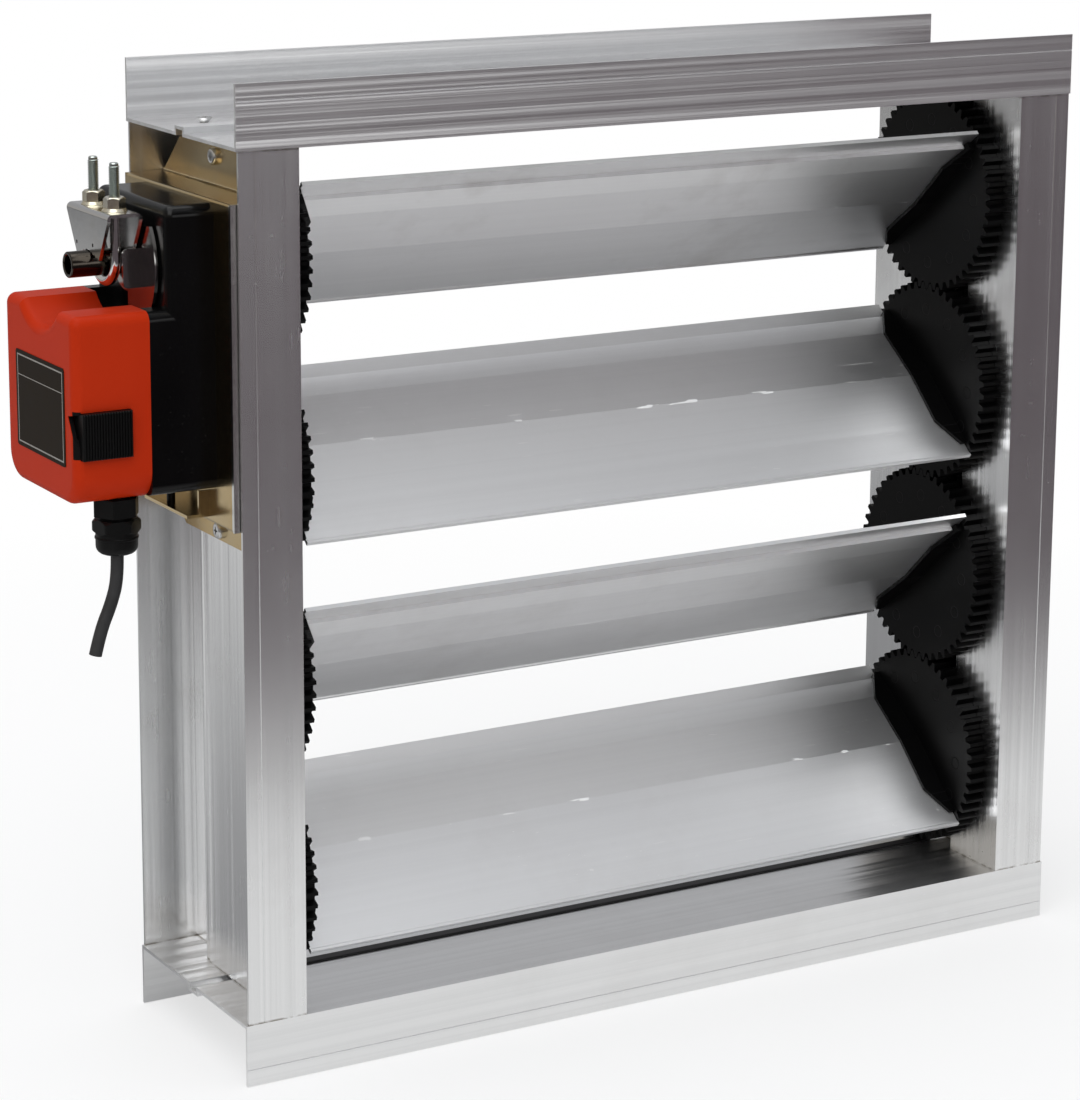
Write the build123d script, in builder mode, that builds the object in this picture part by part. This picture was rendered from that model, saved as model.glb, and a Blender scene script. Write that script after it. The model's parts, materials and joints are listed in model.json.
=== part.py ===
# Motorized duct damper: an aluminium channel frame with four opposed aerofoil blades, joined by
# moulded gears at both ends and turned by an electric actuator on the left stile.
# Millimetres. X runs along the blades, Y through the duct from front to back, Z up.
# The origin is at the foot of the damper, in the middle of its overall width and depth.
import os
from math import acos, cos, pi, radians, sin, tan

from build123d import *

os.makedirs("parts", exist_ok=True)

# Frame
blade_count = 4
blade_pitch = 100
end_room = 5
passage_width = 404
flange = 30
depth = 121
frame_wall = 1.5
web_wall = 1.6
rail_proud = 1
score_from_edge = 8
score_width = 0.6
score_depth = 0.3

# Groove along the middle of each rail, and the rubber strip in it
groove_width = 7
groove_depth = 3
seal_slack = 0.2
seal_proud = 1.1

# Raised middle of each stile, which holds the bearings, and its screw ports
bearing_channel_width = 42.8
bearing_channel_depth = 10
port_from_edge = 24
port_from_middle = 27.2
port_radius = 4.6
port_bore = 1.9

# Frame screws
screw_slack = 0.05
frame_screw_length = 14
frame_screw_head_radius = 4.1
frame_screw_head_height = 2.6

# Gears and their bearings
gear_teeth = 50
pressure_angle = radians(20)
tooth_tip = 0.8
tooth_root = 1.0
tooth_backlash = 0.1
gear_face = 10.7
gear_end_play = 0.2
gear_rim = 6
gear_dish = 5
gear_boss_radius = 13
gear_rib_width = 2.4
gear_rib_count = 6
journal_radius = 8
running_slack = 0.05
bearing_height = 30
bearing_slack = 0.1

# Blades: a faceted hollow section with a stepped lip along each edge
rest_angle = 39.5
blade_lap = 7
lip_length = 10
lip_offset = 0.8
lip_thickness = 1.4
bead_width = 2
bead_height = 0.6
nose_step = 1.4
nose_kink = 31
nose_rise = 3.2
tail_kink = 33
tail_rise = 3.0
half_thickness = 5.2
skin = 1.3
rib_from_middle = 13
cell_from_lip = 5
blade_end_gap = 0.3

# Sockets on the gears that grip the blade ends
socket_reach = 11.5
socket_end_gap = 0.5
socket_full_half_length = 30
socket_low_reach = 3
socket_wall = 1.8
socket_slack = 0.15

# Drive shaft, a steel tube
shaft_radius = 6
shaft_wall = 1.6
shaft_reach = 57
shaft_hole_slack = 0.5

# Actuator bracket, folded sheet
sheet = 1.5
bracket_stand_off = 3
bracket_rail_gap = 5.4
bracket_below_housing = 16.7
bracket_side_gap = 0.7
bracket_lip = 5.5
fold_radius = 1.2
tab_height = 18.5
tab_end_half_width = 39
bracket_screw_from_fold = 13.5
bracket_screw_length = 9
bracket_screw_head_radius = 4
bracket_screw_head_height = 2.6

# Actuator housing: a moulded base on the bracket, a cover over its lower part.
# What ends in drop lies this far below the middle of the shaft.
housing_half_width = 40.6
housing_rise = 29.5
housing_drop = 102
base_upper_depth = 23
base_lower_depth = 32
cover_depth = 37
cover_top_drop = 17
cover_foot_drop = 103.5
cover_round = 4.5
cover_foot_round = 14
cover_cavity_drop = 29.5
housing_wall = 2.2
housing_round = 5
base_round = 4
base_lap = 5
base_scoop_radius = 34
cover_scoop_radius = 26.5

# Release button in the front of the cover
button_from_face = 3
button_width = 24
button_top_drop = 60
button_height = 21.3
button_proud = 3.2
button_length = 9.8
button_slack = 0.2
button_keep = 1.5
button_keep_sheet = 1.4
button_keep_gap = 0.3
button_rib_count = 18
button_rib_width = 0.75
button_rib_depth = 0.6
notch_reach = 7.5
notch_drop = 60
notch_height = 20
notch_slope = 2
spring_room = 10
spring_seat_sheet = 1.6
spring_seat_half_height = 8
spring_leaf = 0.5
spring_half_length = 6
spring_half_width = 4

# Label plate on the cover
label_width = 57
label_height = 45
label_middle_y = -1.5
label_middle_drop = 63.7
label_sheet = 0.3
label_corner = 1.5

# Shaft clamp
hub_radius = 10
hub_proud = 1
hub_slack = 0.08
hub_end_play = 0.2
hub_nose_radius = 8.4
disc_radius = 33
disc_ring_radius = 14
disc_sheet = 1.6
disc_sector_top = 19
disc_sector_bottom = -21
disc_sector_back = -2
lug_reach = 8.6
lug_back = -15.6
lug_top = 8
lug_bottom = -10
lug_corner = 2.5
clamp_gap = 3
clamp_width = 17
clamp_sheet = 1.6
clamp_corner = 3
clamp_bend = 2.4
clamp_teeth = 4
clamp_tooth_depth = 0.7
clamp_top = 25
clamp_top_half = 23.5
clamp_foot_half = 12.5
clamp_foot = 3
clamp_notch_half_angle = radians(75)
clamp_hole_radius = 0.9
clamp_holes = [(12.5, 8.2), (-6, 9)]
bolt_radius = 2.5
bolt_from_middle = 12
bolt_top = 46.8
bolt_slack = 0.25
nut_across = 9
nut_height = 5
nut_flange_radius = 6
nut_flange = 1.4

# Anti-rotation strap under the actuator
strap_front = -31
strap_back = 17
strap_reach = 11
strap_above_fold = 3.7
strap_lug_height = 11
strap_lug_reach = 5
strap_pin_radius = 2
strap_pin_out = 9
strap_pin_y = -2
strap_pin_sunk = 2

# Motor and its gear train inside the actuator
train_face = 6
train_back_gap = 2.8
output_module = 1
output_teeth = 50
idler_pinion_teeth = 18
motor_module = 0.8
idler_wheel_teeth = 48
motor_pinion_teeth = 15
stage_gap = 1
wheel_face = 5
axle_radius = 1.5
axle_boss_radius = 3.5
axle_boss_height = 2
plate_gap = 0.6
plate_sheet = 1.4
plate_side_gap = 7.4
plate_top_drop = 13
plate_height = 72
post_radius = 3
post_from_plate_side = 4
post_from_plate_edge = 5.5
motor_radius = 14
motor_length = 28
motor_shaft_radius = 1
board_back_gap = 4.4
board_width = 54
board_top_drop = 35
board_height = 56
board_sheet = 1.6
board_stand_off = 8
board_post_inset = 5

# Cable gland and cable
gland_from_back = 10.8
gland_from_front = 16.6
gland_neck_radius = 6
gland_neck_length = 5
gland_collar_across = 19
gland_collar_height = 8.5
gland_thread_radius = 7.4
gland_thread_length = 10
gland_nut_gap = 1.5
gland_nut_radius = 11.4
gland_nut_across = 20.8
gland_nut_grip = 6.5
gland_nut_waist = 9.7
gland_nut_straight = 12.5
gland_nut_dome = 4
gland_mouth_radius = 5
cable_radius = 3
# Corners of the cable's route: how far out, back and down each lies from the gland nut's mouth
cable_corners = [(0, 0, 0), (0, 0, 12), (3.4, 0.4, 24), (8.5, 0.8, 35.5), (11.3, 1, 47)]

# Values worked out from the ones above
passage_height = blade_count * blade_pitch + 2 * end_room
gear_module = blade_pitch / gear_teeth
half_chord = (blade_pitch + blade_lap) / 2
socket_half_length = blade_pitch - half_chord - socket_end_gap
outer_width = passage_width + 2 * flange
outer_height = passage_height + 2 * flange
base_back = bracket_stand_off
base_face = base_back + base_upper_depth
cover_back = base_back + base_lower_depth
cover_face = cover_back + cover_depth
inner_half = housing_half_width - housing_wall
duct_x = (cover_face + label_sheet - rail_proud) / 2
left = duct_x - outer_width / 2
right = duct_x + outer_width / 2
half_depth = depth / 2
blade_z = [flange + end_room + blade_pitch * (n + 0.5) for n in reversed(range(blade_count))]
leads = [rest_angle if n % 2 == 0 else -rest_angle for n in range(blade_count)]
drive_z = blade_z[0]
bracket_top = outer_height - flange - bracket_rail_gap - tab_height
housing_top = drive_z + housing_rise
housing_bottom = drive_z - housing_drop
bracket_bottom = housing_bottom - bracket_below_housing
cover_top = drive_z - cover_top_drop
cover_bottom = drive_z - cover_foot_drop
cover_cavity_top = drive_z - cover_cavity_drop
button_top = drive_z - button_top_drop
button_bottom = button_top - button_height
notch_top = drive_z - notch_drop
notch_bottom = notch_top - notch_height
strap_top = bracket_bottom + strap_above_fold
plate_top = drive_z - plate_top_drop
plate_bottom = plate_top - plate_height
board_top = drive_z - board_top_drop
board_bottom = board_top - board_height
gear_out = flange + gear_end_play
gear_in = gear_out + gear_face
blade_inset = gear_in + blade_end_gap
blade_length = outer_width - 2 * blade_inset
lip_start = half_chord - lip_length
cell_end = lip_start - cell_from_lip
lip_far = lip_offset + lip_thickness
channel_floor = flange - bearing_channel_depth
channel_half = bearing_channel_width / 2
wall_out = channel_floor - web_wall
base_inner = base_back + housing_wall
cover_inner = cover_face - housing_wall
train_start = base_inner + train_back_gap
wheel_start = train_start + train_face + stage_gap
plate_back = wheel_start + wheel_face + plate_gap
plate_front = plate_back + plate_sheet
idler_z = drive_z - output_module * (output_teeth + idler_pinion_teeth) / 2
motor_z = idler_z - motor_module * (idler_wheel_teeth + motor_pinion_teeth) / 2
plate_half_width = inner_half - plate_side_gap
post_y = plate_half_width - post_from_plate_side
plate_posts = [
    (y, z)
    for y in (-post_y, post_y)
    for z in (plate_bottom + post_from_plate_edge, plate_top - post_from_plate_edge)
]
board_back = inner_half - board_back_gap
board_front = board_back - board_width
board_posts = [board_bottom + board_post_inset, board_top - board_post_inset]
button_left = cover_face - button_from_face
button_right = button_left - button_width
button_front = -housing_half_width - button_proud
button_back = button_front + button_length
spring_seat_front = button_back + spring_room
button_middle_out = (button_left + button_right) / 2
button_middle_z = (button_bottom + button_top) / 2
gland_out = cover_back + gland_from_back
gland_y = gland_from_front - housing_half_width
hub_end = base_face + hub_proud
disc_face = hub_end + disc_sheet
clamp_back = hub_end + clamp_gap
clamp_front = clamp_back + clamp_width
bolt_out = (clamp_back + clamp_front) / 2


def out(distance):
    # Height of the plane that lies this far outside the left stile's outer edge
    return left - distance


bolt_spots = [(out(bolt_out), side * bolt_from_middle) for side in (-1, 1)]


def across(distance, z=0.0):
    # Plane across X, seen with Y to the right and Z up, this far outside the left stile
    return Plane(origin=(out(distance), 0, z), x_dir=(0, 1, 0), z_dir=(1, 0, 0))


def blade_plane(x, z, lead):
    # Plane across X whose local x runs along the chord towards the blade's front edge
    a = radians(lead)
    return Plane(origin=(x, 0, z), x_dir=(0, -cos(a), sin(a)), z_dir=(1, 0, 0))


def finish(piece, name):
    piece.label = name
    export_step(piece, f"parts/{name}.step")


def involute(angle):
    return tan(angle) - angle


def tooth_points(teeth, module):
    # One straight-flanked tooth on the local x axis: its flanks are chords of the involute
    pitch_radius = module * teeth / 2
    base_radius = pitch_radius * cos(pressure_angle)
    tip = pitch_radius + tooth_tip * module
    root = pitch_radius - tooth_root * module

    def half_angle(radius):
        at = acos(min(1, base_radius / radius))
        half_gap = tooth_backlash / (2 * pitch_radius)
        return pi / (2 * teeth) - half_gap + involute(pressure_angle) - involute(at)

    low, high = half_angle(root), half_angle(tip)
    sunk = root - module / 4
    return [
        (sunk * cos(low), -sunk * sin(low)),
        (root * cos(low), -root * sin(low)),
        (tip * cos(high), -tip * sin(high)),
        (tip * cos(high), tip * sin(high)),
        (root * cos(low), root * sin(low)),
        (sunk * cos(low), sunk * sin(low)),
    ]


def toothed_disc(plane, teeth, module, face, first_tooth):
    # A spur gear blank, with a tooth at the angle first_tooth in degrees
    with BuildPart() as gear:
        with BuildSketch(plane):
            Circle(module * (teeth / 2 - tooth_root))
            with PolarLocations(0, teeth, start_angle=first_tooth):
                Polygon(*tooth_points(teeth, module), align=None)
        extrude(amount=face)
    return gear.part


def skin_height(u):
    # Height of the blade's upper skin above the chord line
    knots = [
        (-half_chord, lip_far),
        (-tail_kink, tail_rise),
        (0, half_thickness),
        (nose_kink, nose_rise),
        (lip_start, nose_step),
    ]
    for (u0, h0), (u1, h1) in zip(knots, knots[1:]):
        if u <= u1:
            return h0 + (h1 - h0) * (u - u0) / (u1 - u0)
    return nose_step


def blade_outline():
    # Half of the section; turned half a turn it gives the other half
    half = [
        (lip_start, nose_step),
        (nose_kink, nose_rise),
        (0, half_thickness),
        (-tail_kink, tail_rise),
        (bead_width - half_chord, skin_height(bead_width - half_chord)),
        (0.7 * bead_width - half_chord, lip_far + bead_height),
        (-half_chord, lip_far + bead_height),
        (-half_chord, lip_offset),
        (-lip_start, lip_offset),
    ]
    return half + [(-u, -h) for u, h in half]


def socket_outline():
    # The blade's section without its lips, grown by the socket's wall
    wall = socket_slack + socket_wall
    stops = (socket_half_length, nose_kink, 0, -tail_kink, -socket_half_length)
    half = [(u, skin_height(u) + wall) for u in stops]
    return half + [(-u, -h) for u, h in half]


def cell_outline(low, high):
    # A hollow cell of the blade between two places along the chord
    kinks = (-tail_kink, -nose_kink, 0, nose_kink, tail_kink)
    stops = sorted({low, high} | {u for u in kinks if low < u < high})
    top = [(u, skin_height(u) - skin) for u in stops]
    bottom = [(u, skin - skin_height(-u)) for u in reversed(stops)]
    return top + bottom


# Top and bottom rails: channels whose web carries a groove for the seal
rail_half_outline = [
    (0, flange - groove_depth),
    (groove_width / 2, flange - groove_depth),
    (groove_width / 2, flange),
    (half_depth, flange),
    (half_depth, score_from_edge + score_width / 2),
    (half_depth - score_depth, score_from_edge),
    (half_depth, score_from_edge - score_width / 2),
    (half_depth, 0),
    (half_depth - frame_wall, 0),
    (half_depth - frame_wall, flange - web_wall),
    (groove_width / 2 + frame_wall, flange - web_wall),
    (groove_width / 2 + frame_wall, flange - groove_depth - frame_wall),
    (0, flange - groove_depth - frame_wall),
]
screw_spots = [
    (x, y)
    for x in (left + port_from_edge, right - port_from_edge)
    for y in (-port_from_middle, port_from_middle)
]
with BuildPart() as bottom_rail:
    with BuildSketch(Plane.YZ.offset(left - rail_proud)):
        with BuildLine():
            Polyline(*rail_half_outline)
            mirror(about=Plane.YZ)
        make_face()
    extrude(amount=outer_width + 2 * rail_proud)
    with Locations(*[(x, y, flange) for x, y in screw_spots]):
        Hole(port_bore + screw_slack, depth=2 * web_wall)
finish(bottom_rail.part, "bottom_rail")

middle_height = Plane.XY.offset(outer_height / 2)
middle_width = Plane.YZ.offset(duct_x)
with BuildPart() as top_rail:
    add(mirror(bottom_rail.part, about=middle_height, mode=Mode.PRIVATE))
finish(top_rail.part, "top_rail")

# Seals in the rail grooves
with BuildPart() as bottom_seal:
    with BuildSketch(Plane.YZ.offset(left + flange)):
        seal_height = groove_depth + seal_proud - seal_slack
        with Locations((0, flange - groove_depth + seal_slack)):
            Rectangle(groove_width - 2 * seal_slack, seal_height, align=(Align.CENTER, Align.MIN))
    extrude(amount=passage_width)
    fillet(bottom_seal.edges().filter_by(Axis.X).group_by(Axis.Z)[-1], seal_proud * 0.8)
finish(bottom_seal.part, "bottom_seal")

with BuildPart() as top_seal:
    add(mirror(bottom_seal.part, about=middle_height, mode=Mode.PRIVATE))
finish(top_seal.part, "top_seal")

# Stiles: channels whose web is raised in the middle to house the bearings
stile_half_outline = [
    (channel_floor, 0),
    (channel_floor, channel_half),
    (flange, channel_half),
    (flange, half_depth),
    (score_from_edge + score_width / 2, half_depth),
    (score_from_edge, half_depth - score_depth),
    (score_from_edge - score_width / 2, half_depth),
    (0, half_depth),
    (0, half_depth - frame_wall),
    (flange - web_wall, half_depth - frame_wall),
    (flange - web_wall, channel_half + web_wall),
    (wall_out, channel_half + web_wall),
    (wall_out, 0),
]
stile_screw_z = [bracket_top + bracket_screw_from_fold, bracket_bottom - bracket_screw_from_fold]
with BuildPart() as plain_stile:
    with BuildSketch(Plane(origin=(left, 0, flange))):
        with BuildLine():
            Polyline(*stile_half_outline)
            mirror(about=Plane.XZ)
        make_face()
        with Locations((port_from_edge, -port_from_middle), (port_from_edge, port_from_middle)):
            Circle(port_radius)
            Circle(port_bore, mode=Mode.SUBTRACT)
    extrude(amount=passage_height)
with BuildPart() as right_stile:
    add(mirror(plain_stile.part, about=middle_width, mode=Mode.PRIVATE))
finish(right_stile.part, "right_stile")

with BuildPart() as left_stile:
    add(plain_stile.part)
    with BuildSketch(across(-channel_floor)):
        with Locations((0, drive_z)):
            Circle(shaft_radius + shaft_hole_slack)
        with Locations(*[(0, z) for z in stile_screw_z]):
            Circle(port_bore)
    extrude(amount=-2 * web_wall, mode=Mode.SUBTRACT)
finish(left_stile.part, "left_stile")

# Countersunk-headed screws that hold the rails to the stiles' ports
with BuildPart() as frame_screws:
    for face_z, way in ((flange - web_wall, -1), (outer_height - flange + web_wall, 1)):
        for x, y in screw_spots:
            with BuildSketch(Plane(origin=(x, y, face_z), z_dir=(0, 0, way))):
                Circle(port_bore - screw_slack)
            extrude(amount=-frame_screw_length)
            with BuildSketch(Plane(origin=(x, y, face_z), z_dir=(0, 0, way))):
                Circle(port_bore)
            with BuildSketch(Plane(origin=(x, y, face_z + way * frame_screw_head_height), z_dir=(0, 0, way))):
                Circle(frame_screw_head_radius)
            loft()
finish(frame_screws.part, "frame_screws")

# Bearing blocks, one behind each gear, pressed into the stiles' raised channel
with BuildPart() as bearings_left:
    with BuildSketch(across(-channel_floor - running_slack)):
        with Locations(*[(0, z) for z in blade_z]):
            Rectangle(bearing_channel_width - 2 * bearing_slack, bearing_height)
            Circle(journal_radius + running_slack, mode=Mode.SUBTRACT)
    extrude(amount=bearing_channel_depth - bearing_slack)
finish(bearings_left.part, "bearings_left")

with BuildPart() as bearings_right:
    add(mirror(bearings_left.part, about=middle_width, mode=Mode.PRIVATE))
finish(bearings_right.part, "bearings_right")

# Gears: dished spur gears with a journal behind and a socket for the blade in front
root_radius = gear_module * (gear_teeth / 2 - tooth_root)
half_step = 180 / gear_teeth
for number, (z, lead) in enumerate(zip(blade_z, leads), start=1):
    back_plane = across(-gear_out, z)
    face_plane = blade_plane(left + gear_in, z, lead)
    side_plane = Plane(origin=(left + gear_in, 0, z), x_dir=face_plane.x_dir, z_dir=face_plane.y_dir)
    first_tooth = 90 if number % 2 else 90 + half_step
    with BuildPart() as gear:
        add(toothed_disc(back_plane, gear_teeth, gear_module, gear_face, first_tooth))
        with BuildSketch(back_plane):
            Circle(root_radius - gear_rim)
            Circle(gear_boss_radius, mode=Mode.SUBTRACT)
            with PolarLocations(0, gear_rib_count):
                Rectangle(root_radius, gear_rib_width, align=(Align.MIN, Align.CENTER), mode=Mode.SUBTRACT)
        extrude(amount=gear_dish, mode=Mode.SUBTRACT)
        with BuildSketch(back_plane):
            Circle(journal_radius)
        extrude(amount=bearing_slack - bearing_channel_depth)
        with BuildSketch(face_plane):
            Polygon(*socket_outline(), align=None)
        extrude(amount=socket_reach)
        with BuildSketch(side_plane):
            for side in (-1, 1):
                Polygon(
                    (side * socket_full_half_length, -socket_reach),
                    (side * socket_half_length, -socket_low_reach),
                    (side * socket_half_length, -2 * socket_reach),
                    align=None,
                )
        extrude(amount=blade_pitch / 2, both=True, mode=Mode.SUBTRACT)
        with BuildSketch(face_plane):
            Polygon(*blade_outline(), align=None)
            offset(amount=socket_slack, kind=Kind.INTERSECTION)
        extrude(amount=2 * socket_reach, mode=Mode.SUBTRACT)
    with BuildPart() as gear_left:
        add(gear.part)
        if number == 1:
            with BuildSketch(across(bearing_slack - channel_floor, z)):
                Circle(shaft_radius + running_slack)
            extrude(amount=gear_in, mode=Mode.SUBTRACT)
    finish(gear_left.part, f"gear_left_{number}")
    with BuildPart() as gear_right:
        add(mirror(gear.part, about=middle_width, mode=Mode.PRIVATE))
    finish(gear_right.part, f"gear_right_{number}")

# Blades: one hollow extrusion each, the same section turned to opposite leads
for number, (z, lead) in enumerate(zip(blade_z, leads), start=1):
    with BuildPart() as blade:
        with BuildSketch(blade_plane(left + blade_inset, z, lead)):
            Polygon(*blade_outline(), align=None)
            half_rib = skin / 2
            for low, high in (
                (-cell_end, -rib_from_middle - half_rib),
                (half_rib - rib_from_middle, rib_from_middle - half_rib),
                (rib_from_middle + half_rib, cell_end),
            ):
                Polygon(*cell_outline(low, high), align=None, mode=Mode.SUBTRACT)
        extrude(amount=blade_length)
    finish(blade.part, f"blade_{number}")

# Drive shaft: a steel tube through the first left gear, the bracket and the actuator
with BuildPart() as drive_shaft:
    with BuildSketch(across(shaft_reach, drive_z)):
        Circle(shaft_radius)
        Circle(shaft_radius - shaft_wall, mode=Mode.SUBTRACT)
    extrude(amount=shaft_reach + gear_in - running_slack)
    chamfer(drive_shaft.faces().sort_by(Axis.X)[0].edges(), shaft_wall / 4)
finish(drive_shaft.part, "drive_shaft")

# Actuator bracket: a folded hat that stands off the stile, with a tab above and below
tab_out = -wall_out + sheet
bracket_half = half_depth - frame_wall - bracket_side_gap
tab_low = bracket_bottom - tab_height
tab_high = bracket_top + tab_height
bracket_side = [
    (out(-wall_out), tab_low),
    (out(-wall_out), bracket_bottom + sheet),
    (out(base_back - sheet), bracket_bottom + sheet),
    (out(base_back - sheet), bracket_top - sheet),
    (out(-wall_out), bracket_top - sheet),
    (out(-wall_out), tab_high),
    (out(tab_out), tab_high),
    (out(tab_out), bracket_top),
    (out(base_back), bracket_top),
    (out(base_back), bracket_bottom),
    (out(tab_out), bracket_bottom),
    (out(tab_out), tab_low),
]
with BuildPart() as actuator_bracket:
    with BuildSketch(Plane.XZ) as bracket_fold:
        with BuildLine():
            Polyline(*bracket_side, close=True)
        make_face()
        inner_folds = [p for p in bracket_fold.vertices() if tab_low < p.Y < tab_high]
        fillet(inner_folds, fold_radius)
    extrude(amount=bracket_half, both=True)
    with BuildSketch(across(-wall_out)):
        for fold, end in ((bracket_top, tab_high), (bracket_bottom, tab_low)):
            with BuildLine():
                Polyline((bracket_half, fold), (bracket_half, end), (tab_end_half_width, end), close=True)
            make_face()
        mirror(about=Plane.YZ)
    extrude(amount=-sheet, mode=Mode.SUBTRACT)
    with BuildSketch(across(base_back)):
        for side in (-1, 1):
            with Locations((side * (bracket_half - sheet / 2), (bracket_top + bracket_bottom) / 2)):
                Rectangle(sheet, bracket_top - bracket_bottom)
    extrude(amount=bracket_lip)
    with BuildSketch(across(base_back)):
        with Locations((0, drive_z)):
            Circle(shaft_radius + 2 * shaft_hole_slack)
    extrude(amount=sheet, mode=Mode.SUBTRACT)
    with BuildSketch(across(tab_out)):
        with Locations(*[(0, z) for z in stile_screw_z]):
            Circle(port_bore + screw_slack)
    extrude(amount=sheet, mode=Mode.SUBTRACT)
finish(actuator_bracket.part, "actuator_bracket")

with BuildPart() as bracket_screws:
    for z in stile_screw_z:
        with BuildSketch(across(tab_out + bracket_screw_head_height, z)):
            Circle(bracket_screw_head_radius)
        extrude(amount=bracket_screw_head_height)
        with BuildSketch(across(tab_out, z)):
            Circle(port_bore - screw_slack)
        extrude(amount=bracket_screw_length)
    fillet(bracket_screws.edges().filter_by(GeomType.CIRCLE).group_by(Axis.X)[0],
           bracket_screw_head_height * 0.4)
finish(bracket_screws.part, "bracket_screws")

# Actuator base: a moulded box on the bracket, cut away above the cover and round the clamp
with BuildPart() as actuator_base:
    with BuildSketch(across(base_back)):
        with Locations((0, (housing_top + housing_bottom) / 2)):
            Rectangle(2 * housing_half_width, housing_top - housing_bottom)
    extrude(amount=-base_upper_depth)
    fillet(actuator_base.edges().filter_by(Axis.X), housing_round)
    fillet(actuator_base.faces().sort_by(Axis.X)[0].edges(), base_round)
    with BuildSketch(across(base_face - base_lap)):
        with Locations((0, (cover_top + housing_bottom) / 2)):
            RectangleRounded(2 * housing_half_width, cover_top - housing_bottom, housing_round)
    extrude(amount=-(cover_back - base_face + base_lap))
    with BuildSketch(across(base_face)):
        with Locations((0, drive_z)):
            Circle(base_scoop_radius)
    extrude(amount=-(cover_back - base_face), mode=Mode.SUBTRACT)
    with BuildSketch(across(base_inner)):
        with Locations((0, (housing_top + housing_bottom) / 2)):
            Rectangle(2 * inner_half, housing_top - housing_bottom - 2 * housing_wall)
    extrude(amount=-(base_upper_depth - 2 * housing_wall), mode=Mode.SUBTRACT)
    mouth_top = drive_z - base_scoop_radius - housing_wall
    mouth_bottom = housing_bottom + housing_wall
    with BuildSketch(across(base_face - 2 * housing_wall)) as mouth:
        with Locations((0, (mouth_top + mouth_bottom) / 2)):
            Rectangle(2 * inner_half, mouth_top - mouth_bottom)
        fillet(mouth.vertices().group_by(Axis.Y)[0], cover_foot_round - housing_wall)
    extrude(amount=-(cover_back - base_face + 2 * housing_wall), mode=Mode.SUBTRACT)
    with BuildSketch(across(base_back)):
        with Locations((0, drive_z)):
            Circle(shaft_radius + 2 * shaft_hole_slack)
    extrude(amount=-housing_wall, mode=Mode.SUBTRACT)
    with BuildSketch(across(base_face)):
        with Locations((0, drive_z)):
            Circle(hub_radius + hub_slack)
    extrude(amount=housing_wall, mode=Mode.SUBTRACT)
    with BuildSketch(across(base_inner)):
        with Locations(*plate_posts):
            Circle(post_radius)
    extrude(amount=-(plate_back - base_inner))
    with BuildSketch(across(base_inner)):
        with Locations((0, idler_z)):
            Circle(axle_boss_radius)
            Circle(axle_radius + running_slack, mode=Mode.SUBTRACT)
    extrude(amount=-axle_boss_height)
    with BuildSketch(Plane.XY.offset(housing_bottom)):
        with Locations((out(strap_pin_out), strap_pin_y)):
            Circle(strap_pin_radius)
    extrude(amount=-(housing_bottom - strap_top + strap_pin_sunk))
finish(actuator_base.part, "actuator_base")

# Actuator cover: a moulded box scooped at the top, with the button's opening in its front wall
with BuildPart() as actuator_cover:
    with BuildSketch(across(cover_back)) as cover_shape:
        with Locations((0, (cover_top + cover_bottom) / 2)):
            Rectangle(2 * housing_half_width, cover_top - cover_bottom)
        fillet(cover_shape.vertices().group_by(Axis.Y)[-1], housing_round)
        fillet(cover_shape.vertices().group_by(Axis.Y)[0], cover_foot_round)
        with Locations((0, drive_z)):
            Circle(cover_scoop_radius, mode=Mode.SUBTRACT)
    extrude(amount=-cover_depth)
    fillet(actuator_cover.faces().sort_by(Axis.X)[0].edges(), cover_round)
    with BuildSketch(across(cover_back)) as cavity:
        with Locations((0, (cover_cavity_top + mouth_bottom) / 2)):
            Rectangle(2 * inner_half, cover_cavity_top - mouth_bottom)
        fillet(cavity.vertices().group_by(Axis.Y)[0], cover_foot_round - housing_wall)
    extrude(amount=-(cover_depth - housing_wall), mode=Mode.SUBTRACT)
    with BuildSketch(Plane.XZ.offset(-spring_seat_front - spring_seat_sheet)):
        with Locations((out(cover_inner), button_middle_z)):
            Rectangle(cover_inner - button_right, 2 * spring_seat_half_height, align=(Align.MIN, Align.CENTER))
    extrude(amount=spring_seat_sheet)
    with BuildSketch(Plane.XZ.offset(housing_half_width - 2 * housing_wall)):
        with Locations((out(button_middle_out), button_middle_z)):
            Rectangle(button_width + 2 * button_slack, button_height + 2 * button_slack)
    extrude(amount=2 * housing_wall, mode=Mode.SUBTRACT)
    with BuildSketch(across(cover_face)):
        Polygon(
            (notch_reach - housing_half_width, notch_top - notch_slope),
            (-housing_half_width - housing_wall, notch_top),
            (-housing_half_width - housing_wall, notch_bottom),
            align=None,
        )
    extrude(amount=cover_face - button_left - button_slack, mode=Mode.SUBTRACT)
    with BuildSketch(Plane.XY.offset(cover_bottom)):
        with Locations((out(gland_out), gland_y)):
            Circle(gland_neck_radius + running_slack)
    extrude(amount=gland_neck_length, mode=Mode.SUBTRACT)
    with BuildSketch(across(cover_inner)):
        with Locations(*[(board_back - board_post_inset, z) for z in board_posts]):
            Circle(post_radius)
    extrude(amount=board_stand_off)
finish(actuator_cover.part, "actuator_cover")

# Label plate, left bare
with BuildPart() as label_plate:
    with BuildSketch(across(cover_face)):
        with Locations((label_middle_y, drive_z - label_middle_drop)):
            RectangleRounded(label_width, label_height, label_corner)
    extrude(amount=-label_sheet)
finish(label_plate.part, "label_plate")

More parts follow.
